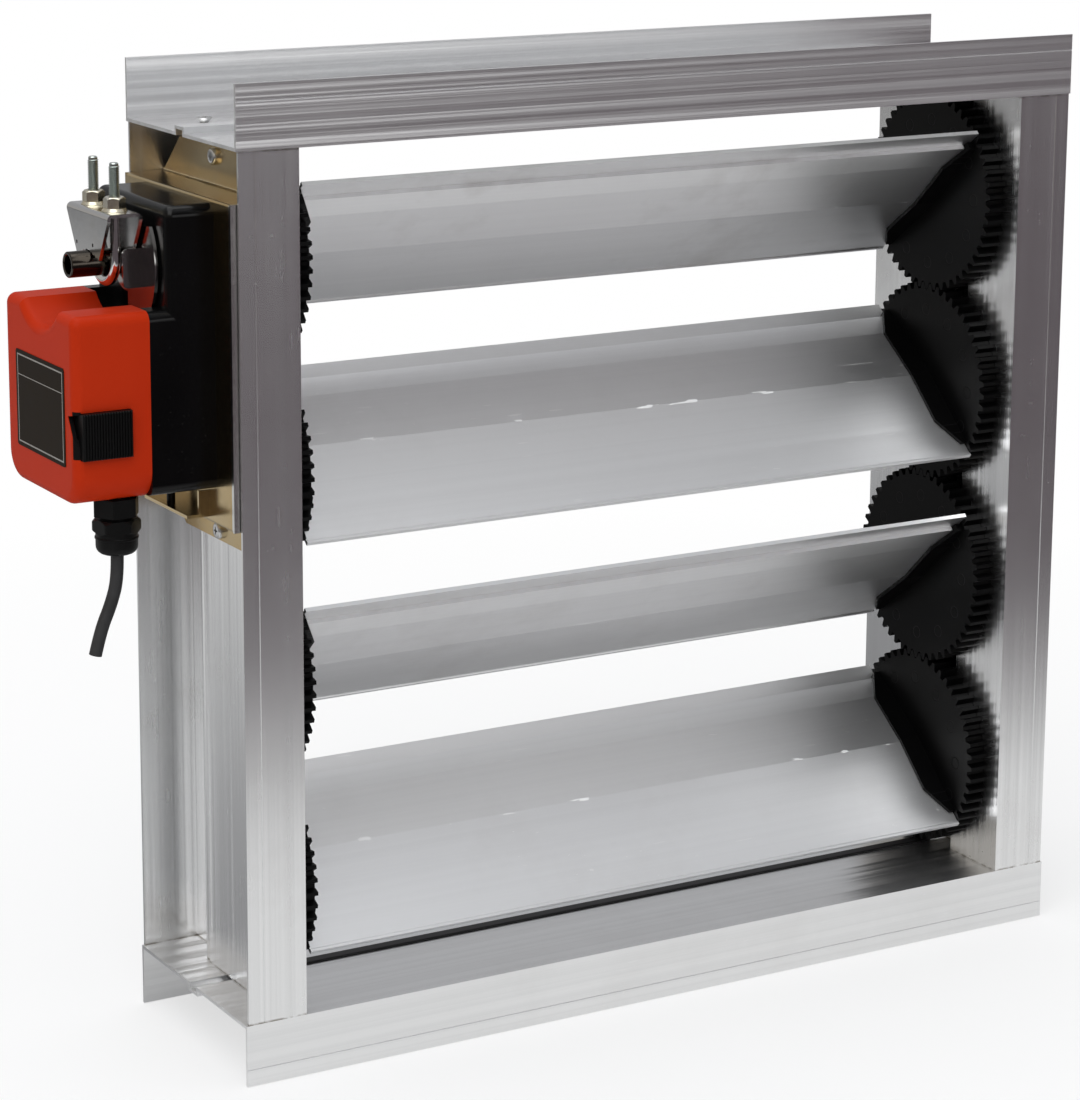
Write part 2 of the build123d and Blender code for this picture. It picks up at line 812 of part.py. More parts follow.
# Release button: ribbed outside, with a keeper above and below the opening inside
with BuildPart() as release_button:
    with BuildSketch(Plane.XZ.offset(-button_back)):
        with Locations((out(button_middle_out), button_middle_z)):
            Rectangle(button_width, button_height)
    extrude(amount=button_length)
    chamfer(release_button.faces().sort_by(Axis.Y)[0].edges(), button_rib_depth)
    with BuildSketch(Plane.XZ.offset(inner_half - button_keep_gap - button_keep_sheet)):
        with Locations((out(button_middle_out), button_middle_z)):
            Rectangle(button_width, button_height + 2 * button_keep)
    extrude(amount=button_keep_sheet)
    rib_pitch = button_width / button_rib_count
    with BuildSketch(Plane.XZ.offset(-button_front)):
        with Locations((out(button_middle_out), button_middle_z)):
            with GridLocations(rib_pitch, 1, button_rib_count - 1, 1):
                Rectangle(rib_pitch - button_rib_width, button_height + 2 * button_keep)
    extrude(amount=-button_rib_depth, mode=Mode.SUBTRACT)
finish(release_button.part, "release_button")

# Folded leaf spring between the button and its seat inside the cover
with BuildPart() as button_spring:
    with BuildSketch(Plane.XY.offset(button_middle_z - spring_half_width)):
        middle_x = out(button_middle_out)
        near_y = button_back + spring_leaf
        far_y = spring_seat_front - spring_leaf
        with BuildLine():
            Polyline(
                (middle_x - spring_half_length, far_y),
                (middle_x + spring_half_length, far_y),
                (middle_x - spring_half_length, (near_y + far_y) / 2),
                (middle_x + spring_half_length, near_y),
                (middle_x - spring_half_length, near_y),
            )
        trace(line_width=spring_leaf)
    extrude(amount=2 * spring_half_width)
finish(button_spring.part, "button_spring")

# Drive hub: a sleeve on the shaft with the output gear, held by the clamp in front
with BuildPart() as drive_hub:
    with BuildSketch(across(base_inner + hub_end_play, drive_z)):
        Circle(hub_radius)
    extrude(amount=-(hub_end - base_inner - hub_end_play))
    with BuildSketch(across(hub_end, drive_z)):
        Circle(hub_nose_radius)
    extrude(amount=-(clamp_back - hub_end - hub_end_play))
    add(toothed_disc(across(train_start + train_face, drive_z), output_teeth, output_module, train_face, -90))
    with BuildSketch(across(base_inner, drive_z)):
        Circle(shaft_radius + running_slack)
    extrude(amount=-(clamp_back - base_inner), mode=Mode.SUBTRACT)
finish(drive_hub.part, "drive_hub")

# Stop disc: a ring on the hub's nose with a sector towards the front, and a lug on the sector
with BuildPart() as stop_disc:
    with BuildSketch(across(hub_end, drive_z)):
        Circle(disc_radius)
        with Locations((disc_sector_back, disc_sector_bottom)):
            Rectangle(disc_radius, disc_sector_top - disc_sector_bottom, align=(Align.MAX, Align.MIN),
                      mode=Mode.INTERSECT)
        Circle(disc_ring_radius)
        Circle(hub_nose_radius + running_slack, mode=Mode.SUBTRACT)
    extrude(amount=-disc_sheet)
    with BuildSketch(Plane.XZ.offset(-lug_back)) as lug_shape:
        with Locations((out(disc_face), drive_z + lug_bottom)):
            Rectangle(lug_reach, lug_top - lug_bottom, align=(Align.MAX, Align.MIN))
        fillet(lug_shape.vertices().group_by(Axis.X)[0], lug_corner)
    extrude(amount=disc_sheet)
finish(stop_disc.part, "stop_disc")

# Clamp bracket: an upturned channel whose two legs bite on the shaft in a shallow notch
clamp_rise = clamp_top - clamp_foot
notch_apex = (shaft_radius + running_slack) / sin(clamp_notch_half_angle)
bite_slope = 1 / tan(clamp_notch_half_angle)
tooth_pitch = clamp_foot_half / (2 * clamp_teeth)
notch_edge = [
    (n * tooth_pitch, notch_apex - n * tooth_pitch * bite_slope + (n % 2) * clamp_tooth_depth)
    for n in range(2 * clamp_teeth + 1)
]
with BuildPart() as clamp_bracket:
    with BuildSketch(across(clamp_back, drive_z)):
        with BuildLine():
            Polyline(
                *notch_edge,
                (clamp_top_half, clamp_top - clamp_corner),
                (clamp_top_half, clamp_top),
                (0, clamp_top),
            )
            mirror(about=Plane.YZ)
        make_face()
    extrude(amount=-clamp_width)
    fillet(clamp_bracket.edges().filter_by(Axis.Y).group_by(Axis.Z)[-1], clamp_bend)
    with BuildSketch(across(clamp_back + clamp_sheet, drive_z)):
        with Locations((0, clamp_top - clamp_sheet)):
            Rectangle(3 * clamp_top_half, 2 * clamp_rise, align=(Align.CENTER, Align.MAX))
    extrude(amount=2 * clamp_sheet - clamp_width, mode=Mode.SUBTRACT)
    with BuildSketch(across(clamp_front, drive_z)):
        with Locations(*clamp_holes):
            Circle(clamp_hole_radius)
    extrude(amount=clamp_sheet, mode=Mode.SUBTRACT)
    with BuildSketch(Plane.XY.offset(drive_z + clamp_top)):
        with Locations(*bolt_spots):
            Circle(bolt_radius + bolt_slack)
    extrude(amount=-clamp_sheet, mode=Mode.SUBTRACT)
finish(clamp_bracket.part, "clamp_bracket")

# U-bolt round the shaft's underside
loop_z = drive_z - shaft_radius - running_slack - bolt_radius + bolt_from_middle
with BuildPart() as clamp_u_bolt:
    x = out(bolt_out)
    near_foot = (x, -bolt_from_middle, loop_z)
    far_foot = (x, bolt_from_middle, loop_z)
    with BuildLine():
        Line((x, -bolt_from_middle, drive_z + bolt_top), near_foot)
        ThreePointArc(near_foot, (x, 0, loop_z - bolt_from_middle), far_foot)
        Line(far_foot, (x, bolt_from_middle, drive_z + bolt_top))
    with BuildSketch(Plane(origin=(x, -bolt_from_middle, drive_z + bolt_top), z_dir=(0, 0, -1))):
        Circle(bolt_radius)
    sweep()
finish(clamp_u_bolt.part, "clamp_u_bolt")

# Flanged nuts on the U-bolt
with BuildPart() as clamp_nuts:
    with BuildSketch(Plane.XY.offset(drive_z + clamp_top)):
        with Locations(*bolt_spots):
            Circle(nut_flange_radius)
            Circle(bolt_radius + running_slack, mode=Mode.SUBTRACT)
    extrude(amount=nut_flange)
    with BuildSketch(Plane.XY.offset(drive_z + clamp_top + nut_flange)):
        with Locations(*bolt_spots):
            RegularPolygon(nut_across / 2, 6, major_radius=False, rotation=30)
            Circle(bolt_radius + running_slack, mode=Mode.SUBTRACT)
    extrude(amount=nut_height)
finish(clamp_nuts.part, "clamp_nuts")

# Anti-rotation strap: a shelf under the actuator with a lug at its front end
with BuildPart() as anti_rotation_strap:
    with BuildSketch(Plane.XY.offset(strap_top)):
        with Locations((out(base_back), strap_front)):
            Rectangle(strap_reach, strap_back - strap_front, align=(Align.MAX, Align.MIN))
        with Locations((out(strap_pin_out), strap_pin_y)):
            Circle(strap_pin_radius + running_slack, mode=Mode.SUBTRACT)
    extrude(amount=-sheet)
    with BuildSketch(Plane.XZ.offset(-strap_front - sheet)):
        with Locations((out(base_back), strap_top)):
            Rectangle(strap_lug_reach, strap_lug_height, align=(Align.MAX, Align.MIN))
    extrude(amount=sheet)
finish(anti_rotation_strap.part, "anti_rotation_strap")

# Motor, on the gear plate
with BuildPart() as motor:
    with BuildSketch(across(plate_front, motor_z)):
        Circle(motor_radius)
    extrude(amount=-motor_length)
    with BuildSketch(across(plate_front, motor_z)):
        Circle(motor_shaft_radius)
    extrude(amount=plate_front - wheel_start)
finish(motor.part, "motor")

with BuildPart() as motor_pinion:
    first_gap = 90 + 180 / motor_pinion_teeth
    add(toothed_disc(across(wheel_start + wheel_face, motor_z), motor_pinion_teeth, motor_module, wheel_face,
                     first_gap))
    with BuildSketch(across(wheel_start + wheel_face, motor_z)):
        Circle(motor_shaft_radius + running_slack)
    extrude(amount=wheel_face, mode=Mode.SUBTRACT)
finish(motor_pinion.part, "motor_pinion")

# Idler gear: a pinion against the output gear and a wheel against the motor's pinion, on one axle
with BuildPart() as idler_gear:
    first_gap = 90 + 180 / idler_pinion_teeth
    add(toothed_disc(across(wheel_start, idler_z), idler_pinion_teeth, output_module, wheel_start - train_start,
                     first_gap))
    add(toothed_disc(across(wheel_start + wheel_face, idler_z), idler_wheel_teeth, motor_module, wheel_face,
                     -90))
    with BuildSketch(across(base_inner + hub_end_play, idler_z)):
        Circle(axle_radius)
    extrude(amount=-(plate_front - base_inner - 2 * hub_end_play))
finish(idler_gear.part, "idler_gear")

with BuildPart() as gear_plate:
    with BuildSketch(across(plate_back)):
        with Locations((0, (plate_top + plate_bottom) / 2)):
            Rectangle(2 * plate_half_width, plate_height)
        with Locations((0, idler_z)):
            Circle(axle_radius + running_slack, mode=Mode.SUBTRACT)
        with Locations((0, motor_z)):
            Circle(2 * motor_shaft_radius, mode=Mode.SUBTRACT)
    extrude(amount=-plate_sheet)
finish(gear_plate.part, "gear_plate")

# Control board on two posts inside the cover
with BuildPart() as control_board:
    with BuildSketch(across(cover_inner - board_stand_off)):
        with Locations(((board_front + board_back) / 2, (board_top + board_bottom) / 2)):
            Rectangle(board_width, board_height)
    extrude(amount=board_sheet)
finish(control_board.part, "control_board")

# Cable gland: a hexagonal collar under the cover, a neck through its wall and a thread for the cap nut
gland_spot = (out(gland_out), gland_y)
nut_top = cover_bottom - gland_collar_height - gland_nut_gap
nut_bottom = nut_top - gland_nut_straight - gland_nut_dome
with BuildPart() as gland_body:
    with BuildSketch(Plane.XY.offset(cover_bottom)):
        with Locations(gland_spot):
            RegularPolygon(gland_collar_across / 2, 6, major_radius=False)
    extrude(amount=-gland_collar_height)
    with BuildSketch(Plane.XY.offset(cover_bottom)):
        with Locations(gland_spot):
            Circle(gland_neck_radius)
    extrude(amount=gland_neck_length)
    with BuildSketch(Plane.XY.offset(cover_bottom - gland_collar_height)):
        with Locations(gland_spot):
            Circle(gland_thread_radius)
    extrude(amount=-(gland_nut_gap + gland_thread_length))
finish(gland_body.part, "gland_body")

with BuildPart() as gland_nut:
    with BuildSketch(Plane(origin=(*gland_spot, 0), x_dir=(1, 0, 0), z_dir=(0, -1, 0))):
        with BuildLine():
            Polyline(
                (0, nut_bottom),
                (gland_mouth_radius, nut_bottom),
            )
            ThreePointArc(
                (gland_mouth_radius, nut_bottom),
                (0.85 * gland_nut_waist, nut_bottom + 0.4 * gland_nut_dome),
                (gland_nut_waist, nut_bottom + gland_nut_dome),
            )
            Polyline(
                (gland_nut_waist, nut_bottom + gland_nut_dome),
                (gland_nut_waist, nut_top - gland_nut_grip),
                (gland_nut_radius, nut_top - gland_nut_grip),
                (gland_nut_radius, nut_top),
                (gland_thread_radius + running_slack, nut_top),
                (gland_thread_radius + running_slack, nut_top - gland_thread_length),
                (0, nut_top - gland_thread_length),
                (0, nut_bottom),
            )
        make_face()
    revolve(axis=Axis((*gland_spot, 0), (0, 0, 1)))
    with BuildSketch(Plane.XY.offset(nut_top)):
        with Locations(gland_spot):
            Circle(gland_nut_across)
            RegularPolygon(gland_nut_across / 2, 6, major_radius=False, rotation=12, mode=Mode.SUBTRACT)
    extrude(amount=-gland_nut_grip, mode=Mode.SUBTRACT)
finish(gland_nut.part, "gland_nut")

# Cable: straight runs joined by arcs, as large as the runs allow
cable_route = [
    Vector(out(gland_out + away), gland_y + back, nut_bottom - down)
    for away, back, down in cable_corners
]
bend_radii = []
for before, corner, after in zip(cable_route, cable_route[1:], cable_route[2:]):
    turn = radians((corner - before).get_angle(after - corner))
    shorter = min((corner - before).length, (after - corner).length)
    bend_radii.append(0.45 * shorter / tan(turn / 2))
with BuildPart() as cable:
    with BuildLine() as cable_line:
        FilletPolyline(*cable_route, radius=bend_radii)
    with BuildSketch(Plane(origin=cable_line.line @ 0, z_dir=cable_line.line % 0)):
        Circle(cable_radius)
    sweep()
finish(cable.part, "cable")
cable_length = cable_line.wires()[0].length
swept = pi * cable_radius**2 * cable_length
print("cable radii", [round(r, 1) for r in bend_radii], "length", round(cable_length, 1))
print("cable volume", round(cable.part.volume, 1), "section times length", round(swept, 1))
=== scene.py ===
import json
import math

import bpy
from mathutils import Matrix, Vector


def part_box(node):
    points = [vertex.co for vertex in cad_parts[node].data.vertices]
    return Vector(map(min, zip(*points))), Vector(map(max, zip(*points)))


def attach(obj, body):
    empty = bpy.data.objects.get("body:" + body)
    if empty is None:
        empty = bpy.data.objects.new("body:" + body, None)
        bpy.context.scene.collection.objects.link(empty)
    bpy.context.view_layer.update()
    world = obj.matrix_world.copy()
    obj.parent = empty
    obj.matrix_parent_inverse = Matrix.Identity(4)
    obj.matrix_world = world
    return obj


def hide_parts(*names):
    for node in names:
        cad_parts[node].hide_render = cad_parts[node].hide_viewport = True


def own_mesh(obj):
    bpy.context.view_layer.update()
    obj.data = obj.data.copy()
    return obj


# Motorized duct damper. Metres, X along the blades, Y through the duct, Z up.
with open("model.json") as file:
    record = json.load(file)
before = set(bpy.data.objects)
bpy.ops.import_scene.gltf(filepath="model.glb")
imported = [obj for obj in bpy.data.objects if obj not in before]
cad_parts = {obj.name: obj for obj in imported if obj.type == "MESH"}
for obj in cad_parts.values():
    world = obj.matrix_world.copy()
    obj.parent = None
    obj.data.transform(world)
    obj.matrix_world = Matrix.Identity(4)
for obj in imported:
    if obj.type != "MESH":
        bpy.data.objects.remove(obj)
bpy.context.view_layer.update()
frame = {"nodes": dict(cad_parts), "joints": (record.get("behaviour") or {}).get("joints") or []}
nodes = frame["nodes"]
print("frame loaded")


def jointOf(name):
    return next(joint for joint in frame["joints"] if joint["name"] == name)


# Camera, from the corners of the frame in the photograph
camera = {
    "imageWidth": 1080,
    "imageHeight": 1100,
    "centreX": 540,
    "centreY": 400,
    "focalPixels": 3440.4,
    "place": (-0.8373, -1.4305, 0.6481),
    "yaw": 30.15,
    "pitch": 11.96,
    "roll": -0.32,
}


def makeCamera(c):
    yaw, pitch, roll = (math.radians(c[k]) for k in ("yaw", "pitch", "roll"))
    forward = Vector((math.sin(yaw) * math.cos(pitch), math.cos(yaw) * math.cos(pitch), -math.sin(pitch)))
    level = Vector((math.cos(yaw), -math.sin(yaw), 0))
    down = forward.cross(level)
    right = level * math.cos(roll) + down * math.sin(roll)
    down = down * math.cos(roll) - level * math.sin(roll)
    data = bpy.data.cameras.new("photoCamera")
    side = c["imageHeight"]
    data.sensor_width = 36
    data.lens = c["focalPixels"] / side * data.sensor_width
    data.shift_x = (c["imageWidth"] / 2 - c["centreX"]) / side
    data.shift_y = (c["centreY"] - c["imageHeight"] / 2) / side
    data.clip_end = 50
    obj = bpy.data.objects.new("photoCamera", data)
    bpy.context.scene.collection.objects.link(obj)
    turn = Matrix((right, -down, -forward)).transposed()
    obj.matrix_world = Matrix.Translation(Vector(c["place"])) @ turn.to_4x4()
    bpy.context.scene.camera = obj


makeCamera(camera)
print("camera placed")


# Shader building: sockets that add up like numbers, and one way to make every other node
class Val:
    def __init__(self, mat, socket):
        self.mat = mat
        self.socket = socket

    def op(self, operation, other=None, swap=False):
        pair = [self, other]
        if swap:
            pair.reverse()
        values = {i: v for i, v in enumerate(pair) if v is not None}
        return self.mat.node("ShaderNodeMath", {"operation": operation}, values).out()

    def __add__(self, o):
        return self.op("ADD", o)

    __radd__ = __add__

    def __sub__(self, o):
        return self.op("SUBTRACT", o)

    def __rsub__(self, o):
        return self.op("SUBTRACT", o, swap=True)

    def __mul__(self, o):
        return self.op("MULTIPLY", o)

    __rmul__ = __mul__

    def __truediv__(self, o):
        return self.op("DIVIDE", o)

    def __gt__(self, o):
        return self.op("GREATER_THAN", o)

    def __lt__(self, o):
        return self.op("LESS_THAN", o)

    def __abs__(self):
        return self.op("ABSOLUTE")

    def atLeast(self, o):
        return self.op("MAXIMUM", o)


class Node:
    def __init__(self, mat, node):
        self.mat = mat
        self.node = node

    def out(self, name=0):
        return Val(self.mat, self.node.outputs[name])


class Mat:
    def __init__(self, name, tree=None):
        if tree is None:
            self.data = bpy.data.materials.new(name)
            self.data.use_nodes = True
            tree = self.data.node_tree
        self.tree = tree
        self.tree.nodes.clear()
        self.made = {}

    def node(self, kind, settings=None, values=None):
        n = self.tree.nodes.new(kind)
        for key, value in (settings or {}).items():
            setattr(n, key, value)
        for key, value in (values or {}).items():
            if isinstance(value, Val):
                self.tree.links.new(value.socket, n.inputs[key])
            else:
                n.inputs[key].default_value = value
        return Node(self, n)

    def place(self):
        if "place" not in self.made:
            self.made["place"] = self.node("ShaderNodeTexCoord").out("Object")
        return self.made["place"]

    def axis(self, letter):
        if "axes" not in self.made:
            self.made["axes"] = self.node("ShaderNodeSeparateXYZ", None, {0: self.place()})
        return self.made["axes"].out(letter)

    def moved(self, scale=(1, 1, 1), turn=(0, 0, 0), shift=(0, 0, 0)):
        values = {"Vector": self.place(), "Scale": scale, "Rotation": turn, "Location": shift}
        return self.node("ShaderNodeMapping", None, values).out()

    def noise(self, scale, stretch=(1, 1, 1), detail=3.0, rough=0.55, turn=(0, 0, 0), shift=(0, 0, 0)):
        spot = self.moved(stretch, turn, shift)
        values = {"Vector": spot, "Scale": scale, "Detail": detail, "Roughness": rough}
        return self.node("ShaderNodeTexNoise", None, values).out()

    def cellEdges(self, scale, stretch=(1, 1, 1)):
        values = {"Vector": self.moved(stretch), "Scale": scale}
        return self.node("ShaderNodeTexVoronoi", {"feature": "DISTANCE_TO_EDGE"}, values).out("Distance")

    def ramp(self, fac, low, high):
        values = {"Value": fac, "From Min": low, "From Max": high}
        return self.node("ShaderNodeMapRange", {"clamp": True}, values).out()

    def mix(self, fac, first, second):
        values = {0: fac, 6: first, 7: second}
        return self.node("ShaderNodeMix", {"data_type": "RGBA"}, values).out(2)

    def bump(self, height, strength, distance, normal=None):
        values = {"Height": height, "Strength": strength, "Distance": distance}
        if normal is not None:
            values["Normal"] = normal
        return self.node("ShaderNodeBump", None, values).out()

    def finish(self, **values):
        names = {"colour": "Base Color", "rough": "Roughness", "metal": "Metallic", "normal": "Normal",
                 "specular": "Specular IOR Level"}
        shader = self.node("ShaderNodeBsdfPrincipled", None, {names[k]: v for k, v in values.items()})
        self.node("ShaderNodeOutputMaterial", None, {"Surface": shader.out()})
        return self.data


def colour(r, g, b):
    return (r, g, b, 1)


def dimmer(tone, share):
    return tuple(share * c for c in tone[:3]) + (1,)


# Finishes: scales are waves per metre, depths are metres, and a pair of values is where a pattern fades in
aluminium = {
    "tone": colour(0.885, 0.89, 0.895),
    "dullTone": colour(0.82, 0.825, 0.83),
    "stainTone": colour(0.56, 0.54, 0.52),
    "scuffTone": colour(0.97, 0.97, 0.97),
    "seamTone": colour(0.16, 0.13, 0.09),
    "fine": {"across": 900, "length": 1.2, "detail": 3},
    "streak": {"across": 260, "length": 0.7},
    "band": {"across": 70, "length": 0.4},
    "depths": {"fine": 0.00008, "streak": 0.00030, "band": 0.0012},
    "dullLines": (0.40, 0.66),
    "cloudScale": 7,
    "patchScale": 26,
    "stains": (0.56, 0.72),
    "scratch": {"across": 620, "length": 55, "detail": 1, "turn": (0.03, 0.05, 0.04)},
    "scratchAbove": 0.715,
    "scratchAreaScale": 23,
    "scratchAreas": (0.56, 0.64),
    "fleckScale": 360,
    "fleckAbove": 0.735,
    "fleckAreas": (0.5, 0.6),
    "knockScale": 260,
    "knockAbove": 0.585,
    "knockAreaScale": 21,
    "knockAreaAbove": 0.50,
    "knockHalfWidth": 0.0010,
    "knockWander": 0.003,
    "knockWanderScale": 40,
    "seamHeight": 0.0012,
    "seamScale": 190,
    "seamAreas": (0.36, 0.60),
}


def extrudedAluminium(name, along, rough, wave, lines, stains, nicks, ridge=None, seams=None,
                      shift=(0, 0, 0)):
    # Die lines run the whole length, so their patterns are stretched almost without end that way
    look = aluminium
    m = Mat(name)

    def die(across, length, detail=2, turn=(0, 0, 0)):
        stretch = [across] * 3
        stretch["XYZ".index(along)] = length
        return m.noise(1, tuple(stretch), detail=detail, turn=turn, shift=shift)

    fine, streak, band, scratch = (die(**look[key]) for key in ("fine", "streak", "band", "scratch"))
    cloud = m.noise(look["cloudScale"], detail=2, shift=shift)
    patch = m.noise(look["patchScale"], detail=4, rough=0.62, shift=shift)
    stain = m.ramp(0.55 * patch + 0.55 * cloud, *look["stains"]) * stains
    dull = m.ramp(0.4 * fine + 0.6 * streak, *look["dullLines"]) * lines
    tone = m.mix(dull, look["tone"], look["dullTone"])
    tone = m.mix(stain, tone, look["stainTone"])
    area = m.ramp(m.noise(look["scratchAreaScale"], detail=2, shift=shift), *look["scratchAreas"])
    scratch = (scratch > look["scratchAbove"]) * area
    fleck = m.noise(look["fleckScale"], (0.5, 1, 1), detail=2) > look["fleckAbove"]
    fleck = fleck * m.ramp(cloud, *look["fleckAreas"])
    marks = scratch.atLeast(fleck) * nicks
    metal = 1.0
    if ridge:
        # Knocks along the ridge where two of the blade's facets meet, at its lead and its middle height
        lead, middle = ridge
        chord = m.axis("Y") * -math.cos(lead) + (m.axis("Z") - middle) * math.sin(lead)
        wander = (m.noise(look["knockWanderScale"], detail=1) - 0.5) * look["knockWander"]
        near = abs(chord + wander) < look["knockHalfWidth"]
        spots = m.noise(look["knockScale"], (0.35, 1, 1), detail=2, shift=shift)
        areas = m.noise(look["knockAreaScale"], detail=2, shift=shift)
        knock = near * (spots > look["knockAbove"]) * (areas > look["knockAreaAbove"])
        marks = marks.atLeast(knock * nicks)
        metal = 1 - knock * nicks
    tone = m.mix(marks, tone, look["scuffTone"])
    if seams:
        # Dirt that has settled where a stile's ends meet the rails
        foot, top = seams
        end = m.axis("Z") * -1 + foot + look["seamHeight"]
        end = end.atLeast(m.axis("Z") - top + look["seamHeight"])
        dirt = m.ramp(m.noise(look["seamScale"], detail=3), *look["seamAreas"])
        tone = m.mix(m.ramp(end, 0, look["seamHeight"]) * dirt, tone, look["seamTone"])
    # Noises lie about a half, so half of what they add is taken off again
    value = 0.05 * fine + 0.06 * streak + 0.05 * patch + (rough - 0.08) + 0.2 * marks + 0.12 * stain
    depths = {key: depth * wave for key, depth in look["depths"].items()}
    normal = m.bump(fine, 0.6, depths["fine"])
    normal = m.bump(streak, 1.0, depths["streak"], normal)
    normal = m.bump(band, 1.0, depths["band"], normal)
    return m.finish(colour=tone, rough=value, metal=metal, normal=normal)


def stileAluminium(name):
    low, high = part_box("left_stile")
    return extrudedAluminium(name, "Z", 0.25, wave=0.5, lines=1.3, stains=0.15, nicks=0.25,
                             seams=(low[2], high[2]))


def bladeAluminium(number, rough, stains, nicks):
    # Odd blades lead one way and even blades the other, by the angle to which the drive can open them
    low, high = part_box(f"blade_{number}")
    lead = -math.radians(jointOf("drive_turn")["range_deg"][0])
    ridge = (lead if number % 2 else -lead, (low[2] + high[2]) / 2)
    shift = (0.37 * number, 0.23 * number, 0)  # so that no two blades have the same marks
    return extrudedAluminium(f"bladeAluminium{number}", "X", rough, wave=0.07, lines=0.35, stains=stains,
                             nicks=nicks, ridge=ridge, shift=shift)


zinc = {
    "tone": colour(0.64, 0.60, 0.53),
    "coolTone": colour(0.60, 0.61, 0.62),
    "spotTone": colour(0.50, 0.47, 0.42),
    "rough": 0.16,
    "warm": 0.3,
    "cloudScale": 16,
    "warmClouds": (0.35, 0.62),
    "spotScale": 60,
    "spots": (0.62, 0.74),
    "spotShare": 0.4,
    "spangleScale": 330,
    "spangleDepth": 0.00003,
}
clampZinc = {**zinc, "rough": 0.10}
nutZinc = {**zinc, "tone": colour(0.70, 0.62, 0.42), "rough": 0.18, "warm": 0.9}
bracketZinc = {
    **zinc,
    "tone": colour(0.58, 0.41, 0.18),
    "coolTone": colour(0.56, 0.46, 0.28),
    # The edge tone is a painted reflection on the bracket's front edge
    "edgeReflectionTone": colour(0.74, 0.74, 0.72),
    "edgeWidth": 0.0022,
    "warm": 0.8,
}


def zincPlate(name, look):
    m = Mat(name)
    cloud = m.noise(look["cloudScale"], detail=4)
    spangle = m.noise(look["spangleScale"], detail=3)
    tone = m.mix(m.ramp(cloud, *look["warmClouds"]) * look["warm"], look["coolTone"], look["tone"])
    spots = m.ramp(m.noise(look["spotScale"], detail=5), *look["spots"])
    tone = m.mix(spots * look["spotShare"], tone, look["spotTone"])
    if "edgeReflectionTone" in look:
        # Painted reflection: the bracket's front edge is painted pale grey for the bright light it mirrors
        edge = m.axis("Y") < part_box("actuator_bracket")[0][1] + look["edgeWidth"]
        tone = m.mix(edge, tone, look["edgeReflectionTone"])
    rough = 0.14 * cloud + 0.12 * spangle + (look["rough"] - 0.08)
    return m.finish(colour=tone, rough=rough, metal=1.0, normal=m.bump(spangle, 0.10, look["spangleDepth"]))


uBoltZinc = {
    "bright": colour(0.80, 0.80, 0.79),
    "threads": colour(0.52, 0.57, 0.54),
    "spotTone": colour(0.50, 0.48, 0.44),
    "spotScale": 60,
    "spots": (0.5, 0.75),
    "spotShare": 0.4,
    "rough": 0.12,
    "threadRough": 0.10,
    "grain": 400,
    "grainDepth": 0.00003,
}


def brightZinc(name, look):
    # Bright round the bend, grey-green on the rolled threads above the clamp
    m = Mat(name)
    thread = m.axis("Z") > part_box("clamp_bracket")[1][2]
    cloud = m.noise(look["spotScale"], detail=3)
    tone = m.mix(thread, look["bright"], look["threads"])
    tone = m.mix(m.ramp(cloud, *look["spots"]) * look["spotShare"], tone, look["spotTone"])
    rough = thread * look["threadRough"] + 0.06 * cloud + (look["rough"] - 0.03)
    normal = m.bump(m.noise(look["grain"], detail=2), 0.1, look["grainDepth"])
    return m.finish(colour=tone, rough=rough, metal=1.0, normal=normal)


steel = {
    "darkShare": 0.78,
    "cloudScale": 60,
    "clouds": (0.4, 0.7),
    "ringScale": 700,
    "ringStretch": (4, 0.2, 0.2),
    "ringDepth": 0.00003,
}
shaftSteel = {**steel, "tone": colour(0.06, 0.052, 0.043), "rough": 0.17, "rings": 0.10}
discSteel = {**steel, "tone": colour(0.36, 0.35, 0.34), "rough": 0.13, "rings": 0.13}


def turnedSteel(name, look):
    m = Mat(name)
    cloud = m.noise(look["cloudScale"], detail=4)
    rings = m.noise(look["ringScale"], look["ringStretch"], detail=2)
    base = m.mix(m.ramp(cloud, *look["clouds"]), look["tone"], dimmer(look["tone"], look["darkShare"]))
    rough = 0.14 * cloud + rings * look["rings"] + (look["rough"] - 0.12)
    return m.finish(colour=base, rough=rough, metal=1.0, normal=m.bump(rings, 0.2, look["ringDepth"]))


plastic = {"flowScale": 24, "flows": (0.35, 0.7), "flowDepth": 0.0004, "grainDepth": 0.00003}
blackPlastic = {
    **plastic,
    "tone": colour(0.002, 0.002, 0.002),
    "rough": 0.36,
    "grain": 1500,
    "dust": 0.06,
    "shine": 0.14,
}
bearingPlastic = {
    **plastic,
    "tone": colour(0.010, 0.010, 0.011),
    "rough": 0.4,
    "grain": 1400,
    "dust": 0.25,
    "shine": 0.2,
}
basePlastic = {
    **plastic,
    "tone": colour(0.0010, 0.0010, 0.0011),
    "rough": 0.20,
    "grain": 1700,
    "dust": 0.03,
    "shine": 0.2,
}
dust = {
    "tone": colour(0.35, 0.33, 0.31),
    "scale": 900,
    "specks": (0.72, 0.78),
    "areaScale": 40,
    "areas": (0.5, 0.62),
}


def grained(m, look):
    # The sparks of a moulding's fine grain, on the slow waves in which its plastic flowed
    spark = m.noise(look["grain"], detail=2, rough=0.6)
    flow = m.noise(look["flowScale"], (1, 1, 0.4), detail=3)
    rough = 0.06 * flow + 0.10 * spark + (look["rough"] - 0.08)
    normal = m.bump(spark, 0.2, look["grainDepth"])
    normal = m.bump(flow, 0.08, look["flowDepth"], normal)
    return m.ramp(flow, *look["flows"]), rough, normal


